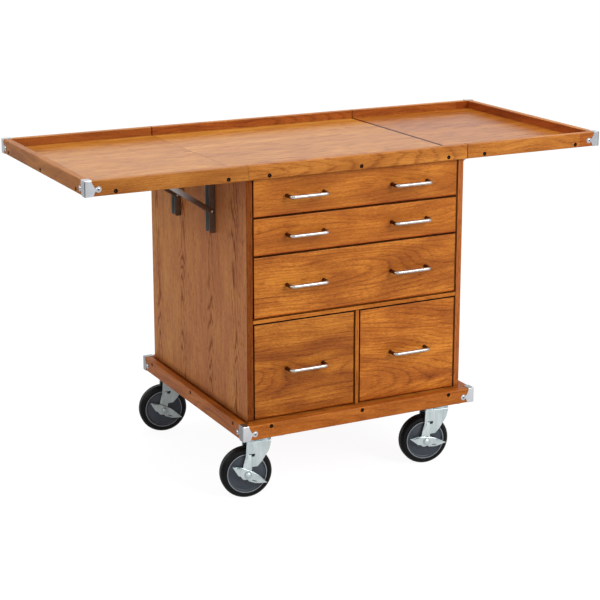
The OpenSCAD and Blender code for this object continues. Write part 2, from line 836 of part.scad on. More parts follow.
side_panels();
back_panel();
dividers();
drawer_runners();
base_panel();
base_rails();
base_caps();
panel_screws();
caster_pads();
caster_plates();
top_panel();
top_rails();
wall_channels();
scale([-1, 1, 1]) leaf_panel();  // leaf_panel_l
scale([-1, 1, 1]) leaf_rails();  // leaf_rails_l
scale([-1, 1, 1]) leaf_caps();  // leaf_caps_l
scale([-1, 1, 1]) leaf_screws();  // leaf_screws_l
scale([-1, 1, 1]) leaf_arms();  // leaf_arms_l
leaf_panel();  // leaf_panel_r
leaf_rails();  // leaf_rails_r
leaf_caps();  // leaf_caps_r
leaf_screws();  // leaf_screws_r
leaf_arms();  // leaf_arms_r
scale([-1, 1, 1]) braces();  // brace_l
braces();  // brace_r
front_1();
box_1();
handles_1();
front_2();
box_2();
handles_2();
front_3();
box_3();
handles_3();
front_4();
box_4();
handle_4();
front_5();
box_5();
handle_5();
fork_n(0);  // fork_fl
axle_n(0);  // axle_fl
core_n(0);  // wheel_core_fl
tyre_n(0);  // tyre_fl
lever_n(0);  // brake_lever_fl
fork_n(1);  // fork_fr
axle_n(1);  // axle_fr
core_n(1);  // wheel_core_fr
tyre_n(1);  // tyre_fr
lever_n(1);  // brake_lever_fr
fork_n(2);  // fork_bl
axle_n(2);  // axle_bl
core_n(2);  // wheel_core_bl
tyre_n(2);  // tyre_bl
lever_n(2);  // brake_lever_bl
fork_n(3);  // fork_br
axle_n(3);  // axle_br
core_n(3);  // wheel_core_br
tyre_n(3);  // tyre_br
lever_n(3);  // brake_lever_br
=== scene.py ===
# %% [markdown]
# A rolling drawer cabinet in oiled oak. Its solids come from the CAD model, which is the frame:
# this file never moves them. Here they get their finishes, and the pieces that a press, a lathe or
# a rolling mill would leave finer than the solids are made again as surfaces worked out with numpy.
# The first step loads the frame.

# %% Load the frame
import bmesh
import bpy
import math
import numpy as np
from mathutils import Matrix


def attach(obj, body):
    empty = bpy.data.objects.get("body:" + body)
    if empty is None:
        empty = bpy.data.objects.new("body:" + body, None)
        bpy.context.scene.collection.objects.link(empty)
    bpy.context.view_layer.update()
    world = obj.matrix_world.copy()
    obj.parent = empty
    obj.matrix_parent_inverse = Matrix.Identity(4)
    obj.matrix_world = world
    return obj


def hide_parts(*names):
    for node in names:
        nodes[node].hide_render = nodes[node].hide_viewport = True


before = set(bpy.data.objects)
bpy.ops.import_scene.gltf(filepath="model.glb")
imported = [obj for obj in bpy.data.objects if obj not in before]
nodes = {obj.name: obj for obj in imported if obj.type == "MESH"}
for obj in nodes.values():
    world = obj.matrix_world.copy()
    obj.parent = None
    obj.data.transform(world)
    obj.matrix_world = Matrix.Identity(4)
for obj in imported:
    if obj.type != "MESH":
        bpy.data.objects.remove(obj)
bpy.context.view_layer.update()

# %% [markdown]
# The camera stands where the photographer stood: 3.9 m from the fronts and to their left, 1.5 m
# up, looking down by 13.7 degrees. The lens is long, about 100 mm on a 36 mm sensor. The picture was
# cropped a little high, which is what the small shift repeats.

# %% Camera
scene = bpy.context.scene


def new_object(name, data):
    """A new object in the scene."""
    obj = bpy.data.objects.new(name, data)
    scene.collection.objects.link(obj)
    return obj


cam_data = bpy.data.cameras.new("photo_camera")
cam_data.lens = 99.43
cam_data.sensor_width = 36.0
cam_data.shift_y = -0.1
cam_data.clip_start = 0.05
cam_data.clip_end = 100.0
camera = new_object("photo_camera", cam_data)
camera.location = (-1.85244, -3.58823, 1.52367)
camera.rotation_euler = (math.radians(90 - 13.674), 0.0, math.radians(-27.177))
scene.camera = camera
scene.view_settings.view_transform = "Standard"
print("camera at", tuple(camera.location))

# %% [markdown]
# Every finish is a tree of shader nodes. The class below makes such trees short to write: a call
# adds one node, and what comes back can go straight into the next call.

# %% Shader nodes
class Shader:
    """The node tree of a material or world, emptied, with short ways to add to it."""

    def __init__(self, tree):
        self.tree = tree
        tree.nodes.clear()

    def add(self, kind, **values):
        """Adds a node. in_Fac or in_0 is an input: a number, a colour, a socket or another node."""
        node = self.tree.nodes.new("ShaderNode" + kind)
        for key, value in values.items():
            if not key.startswith("in_"):
                setattr(node, key, value)
                continue
            spot = node.inputs[int(key[3:]) if key[3:].isdigit() else key[3:].replace("_", " ")]
            if isinstance(value, bpy.types.Node):
                value = value.outputs[0]
            if isinstance(value, bpy.types.NodeSocket):
                self.tree.links.new(value, spot)
            else:
                spot.default_value = value
        return node

    def maths(self, operation, *inputs, **settings):
        """One Math node on sockets, nodes or plain numbers."""
        values = {f"in_{spot}": value for spot, value in enumerate(inputs)}
        return self.add("Math", operation=operation, **settings, **values)

    def plus(self, a, b):
        return self.maths("ADD", a, b)

    def minus(self, a, b):
        return self.maths("SUBTRACT", a, b)

    def times(self, a, b):
        return self.maths("MULTIPLY", a, b)

    def times_plus(self, a, b, c):
        """a * b + c"""
        return self.maths("MULTIPLY_ADD", a, b, c)

    def ramp(self, value, stops):
        """Colour ramp through (position, colour) pairs. A plain number stands for a grey."""
        node = self.add("ValToRGB", in_Fac=value)
        while len(node.color_ramp.elements) < len(stops):
            node.color_ramp.elements.new(0.5)
        for element, (spot, colour) in zip(node.color_ramp.elements, stops):
            tone = (colour,) * 3 if isinstance(colour, (int, float)) else tuple(colour)
            element.position = spot
            element.color = (*tone, 1)
        return node

    def noise(self, place, along, across, detail, rough):
        """Noise on a vector whose X runs along the grain, with its counts per metre both ways."""
        stretch = self.add("Mapping", in_Vector=place, in_Scale=(along, across, across))
        return self.add("TexNoise", in_Vector=stretch, in_Scale=1.0, in_Detail=detail, in_Roughness=rough)

    def axes(self, space="Object"):
        """The three object coordinates by name, or with "Normal" those of the face's direction."""
        split = self.add("SeparateXYZ", in_0=self.add("TexCoord").outputs[space])
        return dict(zip("xyz", split.outputs))

    def within(self, zone, both_sides=False):
        """1 inside the box [(axis, low, high), ...], else 0. both_sides also counts its mirror images."""
        at = self.axes()
        inside = 1.0
        for axis, low, high in zone:
            value = self.maths("ABSOLUTE", at[axis]) if both_sides else at[axis]
            over = self.maths("GREATER_THAN", value, low)
            inside = self.times(self.times(over, self.maths("LESS_THAN", value, high)), inside)
        return inside

    def stained(self, colour, stain, share):
        """The colour multiplied by another colour, as far as share says."""
        return self.add("MixRGB", blend_type="MULTIPLY", in_Fac=share, in_Color1=colour,
                        in_Color2=(*stain, 1))


def new_finish(name):
    """A new material and its empty shader."""
    mat = bpy.data.materials.new(name)
    mat.use_nodes = True
    return mat, Shader(mat.node_tree)


# %% [markdown]
# The studio is white all round. The world is white for the rays that see it, straight or in a
# reflection, and lights the object at a plain level. The floor shows nearly white, but takes a
# faint shadow, which keeps the wheels on the ground. Polished metal needs something dark to
# reflect or it has no form, so three dark cards stand about, which the camera itself doesn't see,
# and reflections see the shadow under the cabinet more strongly than the camera does.

# %% Studio
def grey(level):
    return level, level, level, 1


world = bpy.data.worlds.new("studio")
scene.world = world
world.use_nodes = True
sky = Shader(world.node_tree)
rays = sky.add("LightPath").outputs
seen = sky.maths("MAXIMUM", rays["Is Camera Ray"], rays["Is Glossy Ray"])
seen = sky.maths("MAXIMUM", seen, rays["Is Transmission Ray"])
fill = sky.add("Background", in_Color=grey(1), in_Strength=0.55)
shown = sky.add("Background", in_Color=grey(1))
sky.add("OutputWorld", in_0=sky.add("MixShader", in_0=seen, in_1=fill, in_2=shown))

floor_mat, sh = new_finish("pale_floor")
rays = sh.add("LightPath").outputs
surface = sh.add("BsdfDiffuse", in_Color=grey(0.8))
for ray, strength, level in (("Is Glossy Ray", 0.35, 0.5), ("Is Camera Ray", 0.93, 0.15)):
    glow = sh.add("Emission", in_Color=grey(1), in_Strength=strength)
    both = sh.add("AddShader", in_0=glow, in_1=sh.add("BsdfDiffuse", in_Color=grey(level)))
    surface = sh.add("MixShader", in_0=rays[ray], in_1=surface, in_2=both)
sh.add("OutputMaterial", in_0=surface)

card_mat, sh = new_finish("dark_card")
straight = sh.add("LightPath").outputs["Is Camera Ray"]
felt = sh.add("BsdfDiffuse", in_Color=grey(0.03))
sh.add("OutputMaterial", in_0=sh.add("MixShader", in_0=straight, in_1=felt, in_2=sh.add("BsdfTransparent")))


def studio_sheet(name, corners, mat):
    """One flat sheet of the studio, which is not part of the object."""
    mesh = bpy.data.meshes.new(name)
    mesh.from_pydata(corners, [], [(0, 1, 2, 3)])
    mesh.materials.append(mat)
    new_object(name, mesh)


studio_sheet("floor", [(-20, -20, 0), (20, -20, 0), (20, 20, 0), (-20, 20, 0)], floor_mat)
for name, x0, y0, x1, y1, high in (("card_left", -2.6, -2.2, -2.6, 1.2, 1.1),
                                   ("card_rear", -3.4, 1.6, -0.7, 2.4, 0.16),
                                   ("card_right", 1.75, 0.75, 2.6, 0.1, 1.2)):
    studio_sheet(name, [(x0, y0, 0), (x1, y1, 0), (x1, y1, high), (x0, y0, high)], card_mat)


def lamp(name, place, aim, size, watts):
    """Square soft box at place that shines at aim."""
    data = bpy.data.lights.new(name, "AREA")
    data.size = size
    data.energy = watts
    obj = new_object(name, data)
    obj.location = place
    way = np.array(aim, float) - np.array(place, float)
    flat = math.hypot(way[0], way[1])
    obj.rotation_euler = (math.atan2(flat, -way[2]), 0, math.atan2(way[1], way[0]) - math.pi / 2)


lamp("key_box", (1.6, -3.6, 2.6), (0, 0, 0.5), 1.8, 95)
lamp("side_box", (-3.6, -0.6, 1.6), (0, 0, 0.5), 1.6, 38)
lamp("top_box", (0.2, 0.6, 3.4), (0, 0, 0.8), 2.0, 40)
print("lamps:", len(bpy.data.lights))

# %% [markdown]
# Oak. A flat-sawn board is a slice through a cone of growth rings, so its face shows long arches
# where the rings run out. The finish repeats that: it measures how far a point of the board is
# from the tree's heart, a line that lies nearly along the board but leans a little, and turns that
# distance into rings. Where a panel is glued up from strips, each strip gets a heart of its own.
# Fine ripples drawn out along the grain make the arches spiky, short dark dashes are the pores, and
# slow bands of lighter and darker wood lie over all of it. Shade is painted on the edges of a drawer
# front, which is what makes the gaps between the drawers read as dark lines.

# %% Oak finish
def finish_node(name, mat):
    """Gives a CAD node its finish."""
    nodes[name].data.materials.clear()
    nodes[name].data.materials.append(mat)


def board_axes(sh, grain, face, cross=None):
    """The (along, across, into) coordinates of a board, from the axes along its grain and through it.

    cross = (grain, face, zone) is for a node that also has boards which run the other way: inside
    the zone, a list of (axis, low, high) that holds on both sides, its own axes take over."""
    at = sh.axes()

    def named(grain, face):
        return at[grain], at[({"x", "y", "z"} - {grain, face}).pop()], at[face]

    found = named(grain, face)
    if cross:
        inside = sh.within(cross[2], both_sides=True)
        found = [sh.times_plus(sh.minus(b, a), inside, a) for a, b in zip(found, named(*cross[:2]))]
    return found


def oak(node, name, grain, face, pale, mid, dark, heart=(0.0, 0.0, 0.06), lean=5.0, ring=0.0065,
        strip=0.0, seed=0.0, rough=0.42, shine=0.22, lines=1.0, bands=1.0, stained=None, cross=None,
        swell=(), core=0.0, spike=0.0042, comb=0.6, fleck=0.55, grit=(60.0, 900.0), shade=()):
    """Finishes a CAD node in oak with its grain along one axis and its face across another.

    heart is the middle of the rings, along, across and under the face, in metres, and lean the
    degrees by which it leans to the face. ring and strip are the widths of a ring and of a glued
    strip, darkened is the depth down to which shade is painted on the board's edges. swell is a list
    of (along, across, half length, half width, height): where the tree swelled, rings close into
    ovals. core keeps the arches to the middle of a strip and spike draws them out. comb and fleck
    are the strength of the fine streaks and the pores, grit how fine the pores are both ways. shade
    is a list of (colour, [(axis, low, high), ...]), boxes in which the wood is darker: painted shade,
    and the dark lines of the joints."""
    mat, sh = new_finish(name)
    along, across, into = board_axes(sh, grain, face, cross)
    along = sh.minus(along, heart[0])
    across = sh.minus(across, heart[1])
    into = sh.maths("ABSOLUTE", into)
    shifted = sh.plus(along, 7.3 * seed)
    luck = 0.5
    if strip:
        count = sh.maths("FLOOR", sh.maths("DIVIDE", across, strip))
        across = sh.minus(across, sh.times(count, strip))
        dice = sh.add("TexWhiteNoise", noise_dimensions="1D", in_W=sh.plus(count, 3.7 + seed))
        luck = dice.outputs["Value"]
        across = sh.plus(across, sh.times_plus(luck, strip * 0.3, strip * -0.65))
        shifted = sh.times_plus(luck, 9.1, shifted)
        along = sh.times_plus(luck, 0.7, sh.minus(along, 0.35))
    place = sh.add("CombineXYZ", in_0=shifted, in_1=across, in_2=into)
    slow = sh.noise(place, 2.2, 9.0, 2.0, 0.5)
    bent = sh.times_plus(slow, 0.060, sh.minus(across, 0.030))
    place = sh.add("CombineXYZ", in_0=shifted, in_1=bent, in_2=into)
    ripple = sh.noise(place, 16.0, 260.0, 3.0, 0.6)
    band = sh.noise(place, 1.5, 22.0, 3.0, 0.55)
    cloud = sh.noise(place, 9.0, 26.0, 2.0, 0.5)
    streak = sh.noise(place, 5.0, 420.0, 4.0, 0.65)
    speck = sh.noise(place, 150.0, 700.0, 1.0, 0.5)
    pores = sh.ramp(sh.noise(place, *grit, 2.0, 0.55), [(0.54, 0.0), (0.66, 1.0)])

    # the distance from the heart, counted in rings
    deep = sh.times_plus(along, math.tan(math.radians(lean)), heart[2])
    deep = sh.plus(sh.times_plus(slow, 0.045, deep), into)
    for a0, c0, half_a, half_c, high in swell:
        u = sh.maths("DIVIDE", sh.minus(along, a0), half_a)
        v = sh.maths("DIVIDE", sh.minus(across, c0), half_c)
        far = sh.times_plus(u, u, sh.times(v, v))
        deep = sh.times_plus(sh.maths("POWER", 0.37, far), high, deep)
    far = sh.times_plus(bent, bent, sh.times(deep, deep))
    away = sh.times_plus(ripple, spike, sh.maths("SQRT", far))
    phase = sh.maths("FRACT", sh.maths("DIVIDE", away, ring))
    line = sh.ramp(phase, [(0.0, 1.0), (0.09, 0.8), (0.24, 0.22), (0.7, 0.0), (0.93, 0.2), (1.0, 1.0)])
    line = sh.times(line, sh.times_plus(streak, 2.2, -0.3))
    if core:
        off = sh.maths("DIVIDE", bent, core)
        near = sh.maths("POWER", 0.37, sh.times(off, off))
        line = sh.times(line, sh.times_plus(near, 1.3, 0.25))

    tone = 0.47
    for noise, weight in ((streak, comb), (band, 0.9), (cloud, 1.0), (speck, 0.6)):
        tone = sh.times_plus(sh.minus(noise, 0.5), weight * bands, tone)
    tone = sh.times_plus(sh.minus(luck, 0.5), 0.16, tone)
    colour = sh.ramp(tone, [(0.15, pale), (0.5, mid), (0.95, dark)])
    colour = sh.stained(colour, (0.43, 0.25, 0.14), sh.maths("MULTIPLY", line, 0.75 * lines, use_clamp=True))
    colour = sh.stained(colour, (0.56, 0.38, 0.26), sh.maths("MULTIPLY", pores, fleck, use_clamp=True))
    glossy = shine
    # the shade boxes: painted shade, which also loses most of its gloss, and the dark lines of the joints
    for stain, zone in shade:
        inside = sh.within(zone)
        colour = sh.stained(colour, stain, inside)
        if max(stain) < 0.5:
            glossy = sh.times(glossy, sh.times_plus(inside, -0.9, 1.0))
    # painted shade: the board's side faces, down to the given depth behind its face, turn nearly black, as
    # the shade in the gaps round it
    if stained:
        side = sh.maths("ABSOLUTE", sh.axes("Normal")[face])
        edge = sh.ramp(side, [(0.5, 1.0), (0.95, 0.0)])
        edge = sh.times(edge, sh.maths("LESS_THAN", sh.axes()[face], stained))
        colour = sh.stained(colour, (0.06, 0.03, 0.02), edge)
    height = sh.times_plus(pores, -0.8, sh.times(streak, 0.5))
    press = sh.add("Bump", in_Strength=0.22, in_Distance=0.0004, in_Height=height)
    gloss = sh.times_plus(streak, 0.16, rough - 0.08)
    skin = sh.add("BsdfPrincipled", in_Base_Color=colour, in_Specular_IOR_Level=glossy,
                  in_Roughness=gloss, in_Normal=press)
    sh.add("OutputMaterial", in_0=skin)
    finish_node(node, mat)


def toned(colours, k, red=0.0):
    """The colours, k times as bright. red is the share that goes out of green, twice it out of blue."""
    return {key: (r * k, g * k * (1 - red), b * k * (1 - 2 * red)) for key, (r, g, b) in colours.items()}


# %% [markdown]
# Every board gets its own cut and tone: warm fronts, darker rails, a browner side and a pale tray
# that is worn smooth. The boxes and runners inside are of a paler wood that was never oiled. Shade
# is painted where a board looks into a gap, and on the faces that look into the tray.

# %% Wood of every board
FRONT = dict(pale=(0.72, 0.255, 0.030), mid=(0.48, 0.140, 0.013), dark=(0.29, 0.066, 0.006))
RAIL = dict(pale=(0.52, 0.180, 0.026), mid=(0.38, 0.112, 0.012), dark=(0.23, 0.056, 0.006))
TOP_RAIL = dict(pale=(0.62, 0.240, 0.040), mid=(0.46, 0.154, 0.021), dark=(0.29, 0.080, 0.011))
TOP = dict(pale=(0.67, 0.30, 0.052), mid=(0.52, 0.198, 0.026), dark=(0.36, 0.110, 0.013))
SIDE = dict(pale=(0.60, 0.280, 0.084), mid=(0.51, 0.202, 0.070), dark=(0.37, 0.126, 0.052))
PALE = dict(pale=(0.66, 0.46, 0.26), mid=(0.58, 0.38, 0.19), dark=(0.45, 0.27, 0.12), ring=0.004)
# the colour of the shade painted where a board looks into a gap
GAP_SHADE = (0.05, 0.026, 0.018)

# the drawer fronts: along, across and depth of the rings' middle, lean, ring width, swellings, tone
cuts = {1: ((0.20, 0.735, -0.27), 7.0, 0.0080, [(-0.35, -0.01, 0.10, 0.03, 0.02)], 0.92),
        2: ((0.0, 0.56, -0.24), 2.0, 0.0070, [], 0.98),
        3: ((0.16, 0.520, -0.26), 6.0, 0.0085, [(0.06, 0.02, 0.09, 0.030, 0.018)], 0.93),
        4: ((-0.12, 0.290, -0.27), 4.0, 0.0080, [(-0.03, 0.01, 0.13, 0.045, 0.028)], 0.83),
        5: ((0.10, 0.240, -0.26), 9.0, 0.0085, [(0.15, 0.09, 0.12, 0.040, 0.025)], 1.0)}
for n, (heart, lean, ring, swell, tone) in cuts.items():
    low, high = np.array(nodes[f"front_{n}"].bound_box)[[0, 6]] + 0.0007 * np.array([[1], [-1]])
    # painted shade on each front, near its face only: a strip along its rounded lower edge, and the gap shade
    # round its edges
    near = low[1] + 0.004
    past = ("x", -1, low[0]), ("x", high[0], 1), ("z", -1, low[2]), ("z", high[2], 1)
    shade = [((0.85, 0.60, 0.48), [("z", low[2], low[2] + 0.0035), ("y", -1, near)])]
    shade += [(GAP_SHADE, [zone, ("y", -1, near)]) for zone in past]
    figure = dict(lines=0.65, bands=0.85) if n < 3 else dict(lines=0.9, bands=1.2)
    oak(f"front_{n}", f"front_oak_{n}", "x", "y", **toned(FRONT, tone), **figure, heart=heart, lean=lean,
        ring=ring, swell=swell, seed=0.13 * n, stained=near, shine=0.18, comb=0.5, shade=shade)
    oak(f"box_{n}", f"box_wood_{n}", "y", "x", **PALE, heart=(0, 0.3, 0.1), seed=n)

# the case: shade is painted on its front edges, much more on the left one than on the right, and most where
# they look into a gap, and a painted shadow lies along the foot of the side panels
edge_y = ("y", -0.30, -0.2775)
edges = [((0.42, 0.28, 0.18), [("x", -0.30, -0.26), edge_y]),
         ((0.82, 0.62, 0.40), [("x", 0.26, 0.30), edge_y]),
         (GAP_SHADE, [("x", -0.2752, -0.26), edge_y]), (GAP_SHADE, [("x", 0.26, 0.2752), edge_y]),
         ((0.80, 0.72, 0.64), [("z", 0.19, 0.2005)]), ((0.88, 0.83, 0.78), [("z", 0.19, 0.206)])]
oak("side_panels", "side_oak", "z", "x", **toned(SIDE, 1.08), heart=(0.5, 0.018, -0.27), lean=2.2,
    ring=0.0036, strip=0.150, shine=0.08, rough=0.5, lines=1.9, bands=0.8, core=0.014, spike=0.0050,
    comb=0.9, fleck=0.95, grit=(45.0, 600.0), shade=edges)
oak("back_panel", "back_oak", "z", "y", **SIDE, heart=(0.5, 0.0, -0.26), lean=4.0, strip=0.12, bands=0.6,
    core=0.016)
# painted shade where the shelf and the partition look into the gaps round the drawers
partition_z = ("z", 0.0, 0.4298)
divider_gap_shade = [(GAP_SHADE, [("z", 0.4402, 0.45), edge_y]), (GAP_SHADE, [("x", -0.3, -0.0047), partition_z, edge_y]),
        (GAP_SHADE, [("z", 0.4297, 0.4313), edge_y]), (GAP_SHADE, [("x", 0.0047, 0.3), partition_z, edge_y])]
zone = [("x", -1.0, 0.0061), ("z", 0.0, 0.4297)]
oak("dividers", "divider_oak", "x", "z", **toned(RAIL, 1.2), heart=(0, -0.5, -0.3), lines=0.7, shine=0.12,
    cross=("z", "x", zone), shade=divider_gap_shade)
oak("drawer_runners", "runner_wood", "y", "x", **PALE, heart=(0, 0.3, 0.3))
oak("caster_pads", "pad_wood", "y", "x", **PALE, heart=(0, 0.3, 0.1))
# painted shadow on the ledge of the base beside the left side panel
oak("base_panel", "base_oak", "x", "z", **RAIL, heart=(0, 0.1, -0.1), strip=0.12,
    shade=[((0.42, 0.32, 0.25), [("x", -0.32, -0.2906)])])
zone = [("x", 0.2975, 1.0), ("y", -1.0, 0.2899)]
oak("base_rails", "base_rail_oak", "x", "y", **toned(RAIL, 1.12, 0.06), heart=(0.1, 0.16, -0.28), lean=2.0,
    lines=0.6, cross=("y", "x", zone), shine=0.15)

# the work top: shade is painted on the faces that look into the tray, more on the right end rail's inner
# face, and there are dark lines where the leaves meet the fixed top, of which the right one stands open a
# little more
tray_face_shade = ((0.80, 0.60, 0.54), [("x", -0.6600, 0.6600), ("y", -0.2765, 0.2785), ("z", 0.70, 0.8065)])
# painted shade on the inner face of the right end rail
corner = ((0.84, 0.66, 0.60), [("x", 0.62, 0.6600), ("z", 0.70, 0.8065)])
joint_r = ((0.14, 0.07, 0.045), [("x", 0.2872, 0.2936), ("z", 0.786, 0.80)])
joint_e = ((0.40, 0.26, 0.20), [("x", 0.2894, 0.2918)])
joint_w = ((0.60, 0.42, 0.30), [("x", 0.2850, 0.2955), ("z", 0.786, 0.80)])
joint_l = ((0.30, 0.18, 0.14), [("x", -0.2920, -0.2888), ("y", 0.0, 0.4)])
joint_s = ((0.62, 0.50, 0.42), [("x", -0.2916, -0.2892)])
tray = dict(lean=3.0, heart=(0, 0.02, -0.74), strip=0.125, rough=0.22, shine=0.07, lines=0.8, bands=0.75,
            spike=0.006, fleck=0.6, grit=(22.0, 120.0))
oak("top_rails", "top_rail_oak", "x", "y", **TOP_RAIL, heart=(0.1, 0.78, -0.27), lean=6.0, shine=0.15,
    shade=[tray_face_shade, joint_e, joint_l])
oak("top_panel", "top_oak", "x", "z", **TOP, **tray, shade=[joint_r, joint_w, joint_s])
zone = [("x", 0.6595, 1.0), ("y", -1.0, 0.2772)]
for s, seed in (("l", 1.0), ("r", 2.0)):
    oak(f"leaf_panel_{s}", f"leaf_oak_{s}", "x", "z", **toned(TOP, 1.18 - 0.18 * seed, 0.15 * (seed - 1)),
        **tray, seed=seed, shade=[joint_r, joint_w])
    oak(f"leaf_rails_{s}", f"leaf_rail_oak_{s}", "x", "y", **toned(TOP_RAIL, 0.65 + 0.18 * seed), lean=3.0,
        lines=0.6, heart=(0, 0.74, -0.27), shade=[tray_face_shade, corner, joint_e, joint_l], shine=0.15,
        seed=seed * 0.01, cross=("y", "x", zone))
print("finishes so far:", len(bpy.data.materials))

# %% [markdown]
# Metals, rubber and the moulded wheel. Zinc plate is pale and slightly green, nickel is brighter
# and smoother, and the folding brackets are painted dark brown. Each has a fine unevenness in its
# gloss, because a perfectly even one looks like plastic. Metals keep their real, rather grey
# colour: it is the white room that they reflect which makes them look bright. Light and shade are
# painted into some of them, though: the rear casters' zinc is a darker copy for their shade, the
# base caps' nickel a brighter copy with shade painted on its side faces, and bands of painted
# reflection and shade lie on the handles' legs, the right leaf's caps, the far half of each wall
# channel and the upper end of each strap.

# %% Metals, rubber and paint
def skin_of(name, colour, rough, metal=0.0, spread=0.06, scale=30.0, bump=0.05, second=None, shine=0.5,
            long=None, light_band=None, side_shade=None):
    """Plain finish with a fine unevenness of gloss and soft patches of a second tone.

    long is the (x, y, z) stretch of the unevenness, for drawn metal. light_band is (axis, from, to,
    colour): between these places a painted highlight, reflection or shade turns the colour to that
    one, and a fifth entry (low, high) repeats this for every further stretch of that length.
    side_shade is a colour painted as shade on the faces that look neither to the front nor to the back."""
    mat, sh = new_finish(name)
    where = sh.add("TexCoord").outputs["Object"]
    if long:
        where = sh.add("Mapping", in_Vector=where, in_Scale=long)
    cloud = sh.add("TexNoise", in_Vector=where, in_Scale=scale, in_Detail=4.0, in_Roughness=0.6)
    tones = sh.ramp(cloud, [(0.35, colour), (0.7, second or [c * 0.86 for c in colour])])
    if light_band:
        axis, start, end, band_tone, *again = light_band
        at = sh.axes()[axis]
        for low, high in again:
            at = sh.maths("WRAP", at, high, low)
        reach = sh.add("MapRange", in_Value=at, in_From_Min=start, in_From_Max=end)
        tones = sh.add("MixRGB", in_Fac=reach, in_Color1=tones, in_Color2=(*band_tone, 1))
    if side_shade:
        ahead = sh.maths("ABSOLUTE", sh.axes("Normal")["y"])
        tones = sh.add("MixRGB", in_Fac=ahead, in_Color1=(*side_shade, 1), in_Color2=tones)
    press = sh.add("Bump", in_Strength=bump, in_Distance=0.0003, in_Height=cloud)
    gloss = sh.times_plus(cloud, spread, rough - spread / 2)
    skin = sh.add("BsdfPrincipled", in_Base_Color=tones, in_Metallic=metal, in_Roughness=gloss,
                  in_Specular_IOR_Level=shine, in_Normal=press)
    sh.add("OutputMaterial", in_0=skin)
    return mat


zinc = skin_of("zinc_plate", (0.70, 0.77, 0.79), 0.36, 1.0, spread=0.14,
               second=(0.50, 0.60, 0.61), long=(2.5, 2.5, 0.35))
zinc_dark = skin_of("zinc_in_shade", (0.26, 0.30, 0.29), 0.5, 1.0, scale=60.0, spread=0.1)
spring = skin_of("spring_steel", (0.74, 0.83, 0.85), 0.42, 0.95, scale=70.0, spread=0.12)
# painted reflection: the faces of the right leaf's caps beyond x = 676.8 mm turn dark
nickel = skin_of("bright_nickel", (0.62, 0.64, 0.67), 0.24, 1.0, second=(0.54, 0.56, 0.60),
                 light_band=("x", 0.6752, 0.6768, (0.03, 0.035, 0.045)))
# painted light: a brighter copy of the nickel for the base caps, with painted shade on the faces that look to
# the sides and up
nickel_lit_base_caps = skin_of("nickel_of_base_caps_painted_light", (0.70, 0.72, 0.75), 0.24, 1.0, second=(0.60, 0.62, 0.66),
                     side_shade=(0.30, 0.32, 0.33))
# painted shade: a darker copy of the zinc for the rear casters, which stand in the shade under the case
zinc_rear_shaded = skin_of("zinc_of_rear_casters", (0.46, 0.51, 0.51), 0.40, 1.0, spread=0.14,
                    second=(0.30, 0.35, 0.35), long=(2.5, 2.5, 0.35))
# painted reflection and shade: the handles' legs, near the wood, turn dark brown
chrome = skin_of("polished_chrome", (0.53, 0.495, 0.465), 0.25, 1.0, bump=0.01,
                 light_band=("y", -0.3035, -0.2985, (0.10, 0.045, 0.02)))
brown = dict(colour=(0.155, 0.096, 0.064), rough=0.36, metal=0.35, scale=50.0, second=(0.105, 0.070, 0.052))
dark_steel = skin_of("bracket_brown", **brown)
# painted reflection: the far half of each wall channel turns teal-grey
channel_steel = skin_of("channel_brown", **brown,
                        light_band=("y", -0.0985, -0.0965, (0.21, 0.245, 0.25), (-0.201, 0.006)))
# painted sheen: the upper end of each strap turns pale grey
strap_steel = skin_of("strap_brown", (0.130, 0.075, 0.046), 0.34, 0.35, scale=50.0,
                      second=(0.090, 0.052, 0.036), light_band=("z", 0.695, 0.745, (0.62, 0.61, 0.63)))
rivet_steel = skin_of("rivet_steel", (0.72, 0.70, 0.66), 0.25, 1.0, scale=90.0)
screw_black = skin_of("dark_screws", (0.008, 0.0035, 0.002), 0.6, scale=90.0, shine=0.04)
# painted shade: the near-black of the deep middle of each screw's cross recess
recess_shade = skin_of("screw_recess_painted_shade", (0.010, 0.010, 0.011), 0.6, scale=90.0)
rubber = skin_of("tyre_rubber", (0.0035, 0.0035, 0.004), 0.45, scale=140.0, bump=0.12, shine=0.16)
slate = skin_of("wheel_grey", (0.055, 0.066, 0.085), 0.42, scale=80.0, shine=0.35)
lip_grey = skin_of("wheel_lip", (0.26, 0.275, 0.30), 0.4, scale=80.0)
print("finishes in all:", len(bpy.data.materials))

for mat, names in ((nickel, "base_caps leaf_caps_l leaf_caps_r"),
                   (chrome, "handles_1 handles_2 handles_3 handle_4 handle_5"),
                   (dark_steel, "wall_channels leaf_arms_l leaf_arms_r brace_l brace_r"),
                   (screw_black, "panel_screws leaf_screws_l leaf_screws_r"), (zinc, "caster_plates")):
    for name in names.split():
        finish_node(name, mat)
for place in ("fl", "fr", "bl", "br"):
    for mat, name in ((zinc, "fork"), (zinc, "brake_lever"), (nickel, "axle"), (slate, "wheel_core"),
                      (rubber, "tyre")):
        finish_node(f"{name}_{place}", mat)

# %% [markdown]
# The metal pieces are surfaces worked out with numpy. A few helpers come first: the faces of a grid
# of points, a sheet with a real thickness, a plate with eased edges and a form turned on a lathe.
# They work on whole arrays, in millimetres, and give points and faces, so that one piece can be
# joined from several forms.

# %% Helpers for worked-out surfaces
join = np.concatenate


def grid_faces(rows, cols, around=False):
    """Quads (i, j), (i, j+1), (i+1, j+1), (i+1, j) of a grid. around closes each row into a ring."""
    i, j = np.meshgrid(np.arange(rows - 1), np.arange(cols if around else cols - 1), indexing="ij")
    k = (j + 1) % cols
    return np.stack([i * cols + j, i * cols + k, (i + 1) * cols + k, (i + 1) * cols + j], -1).reshape(-1, 4)


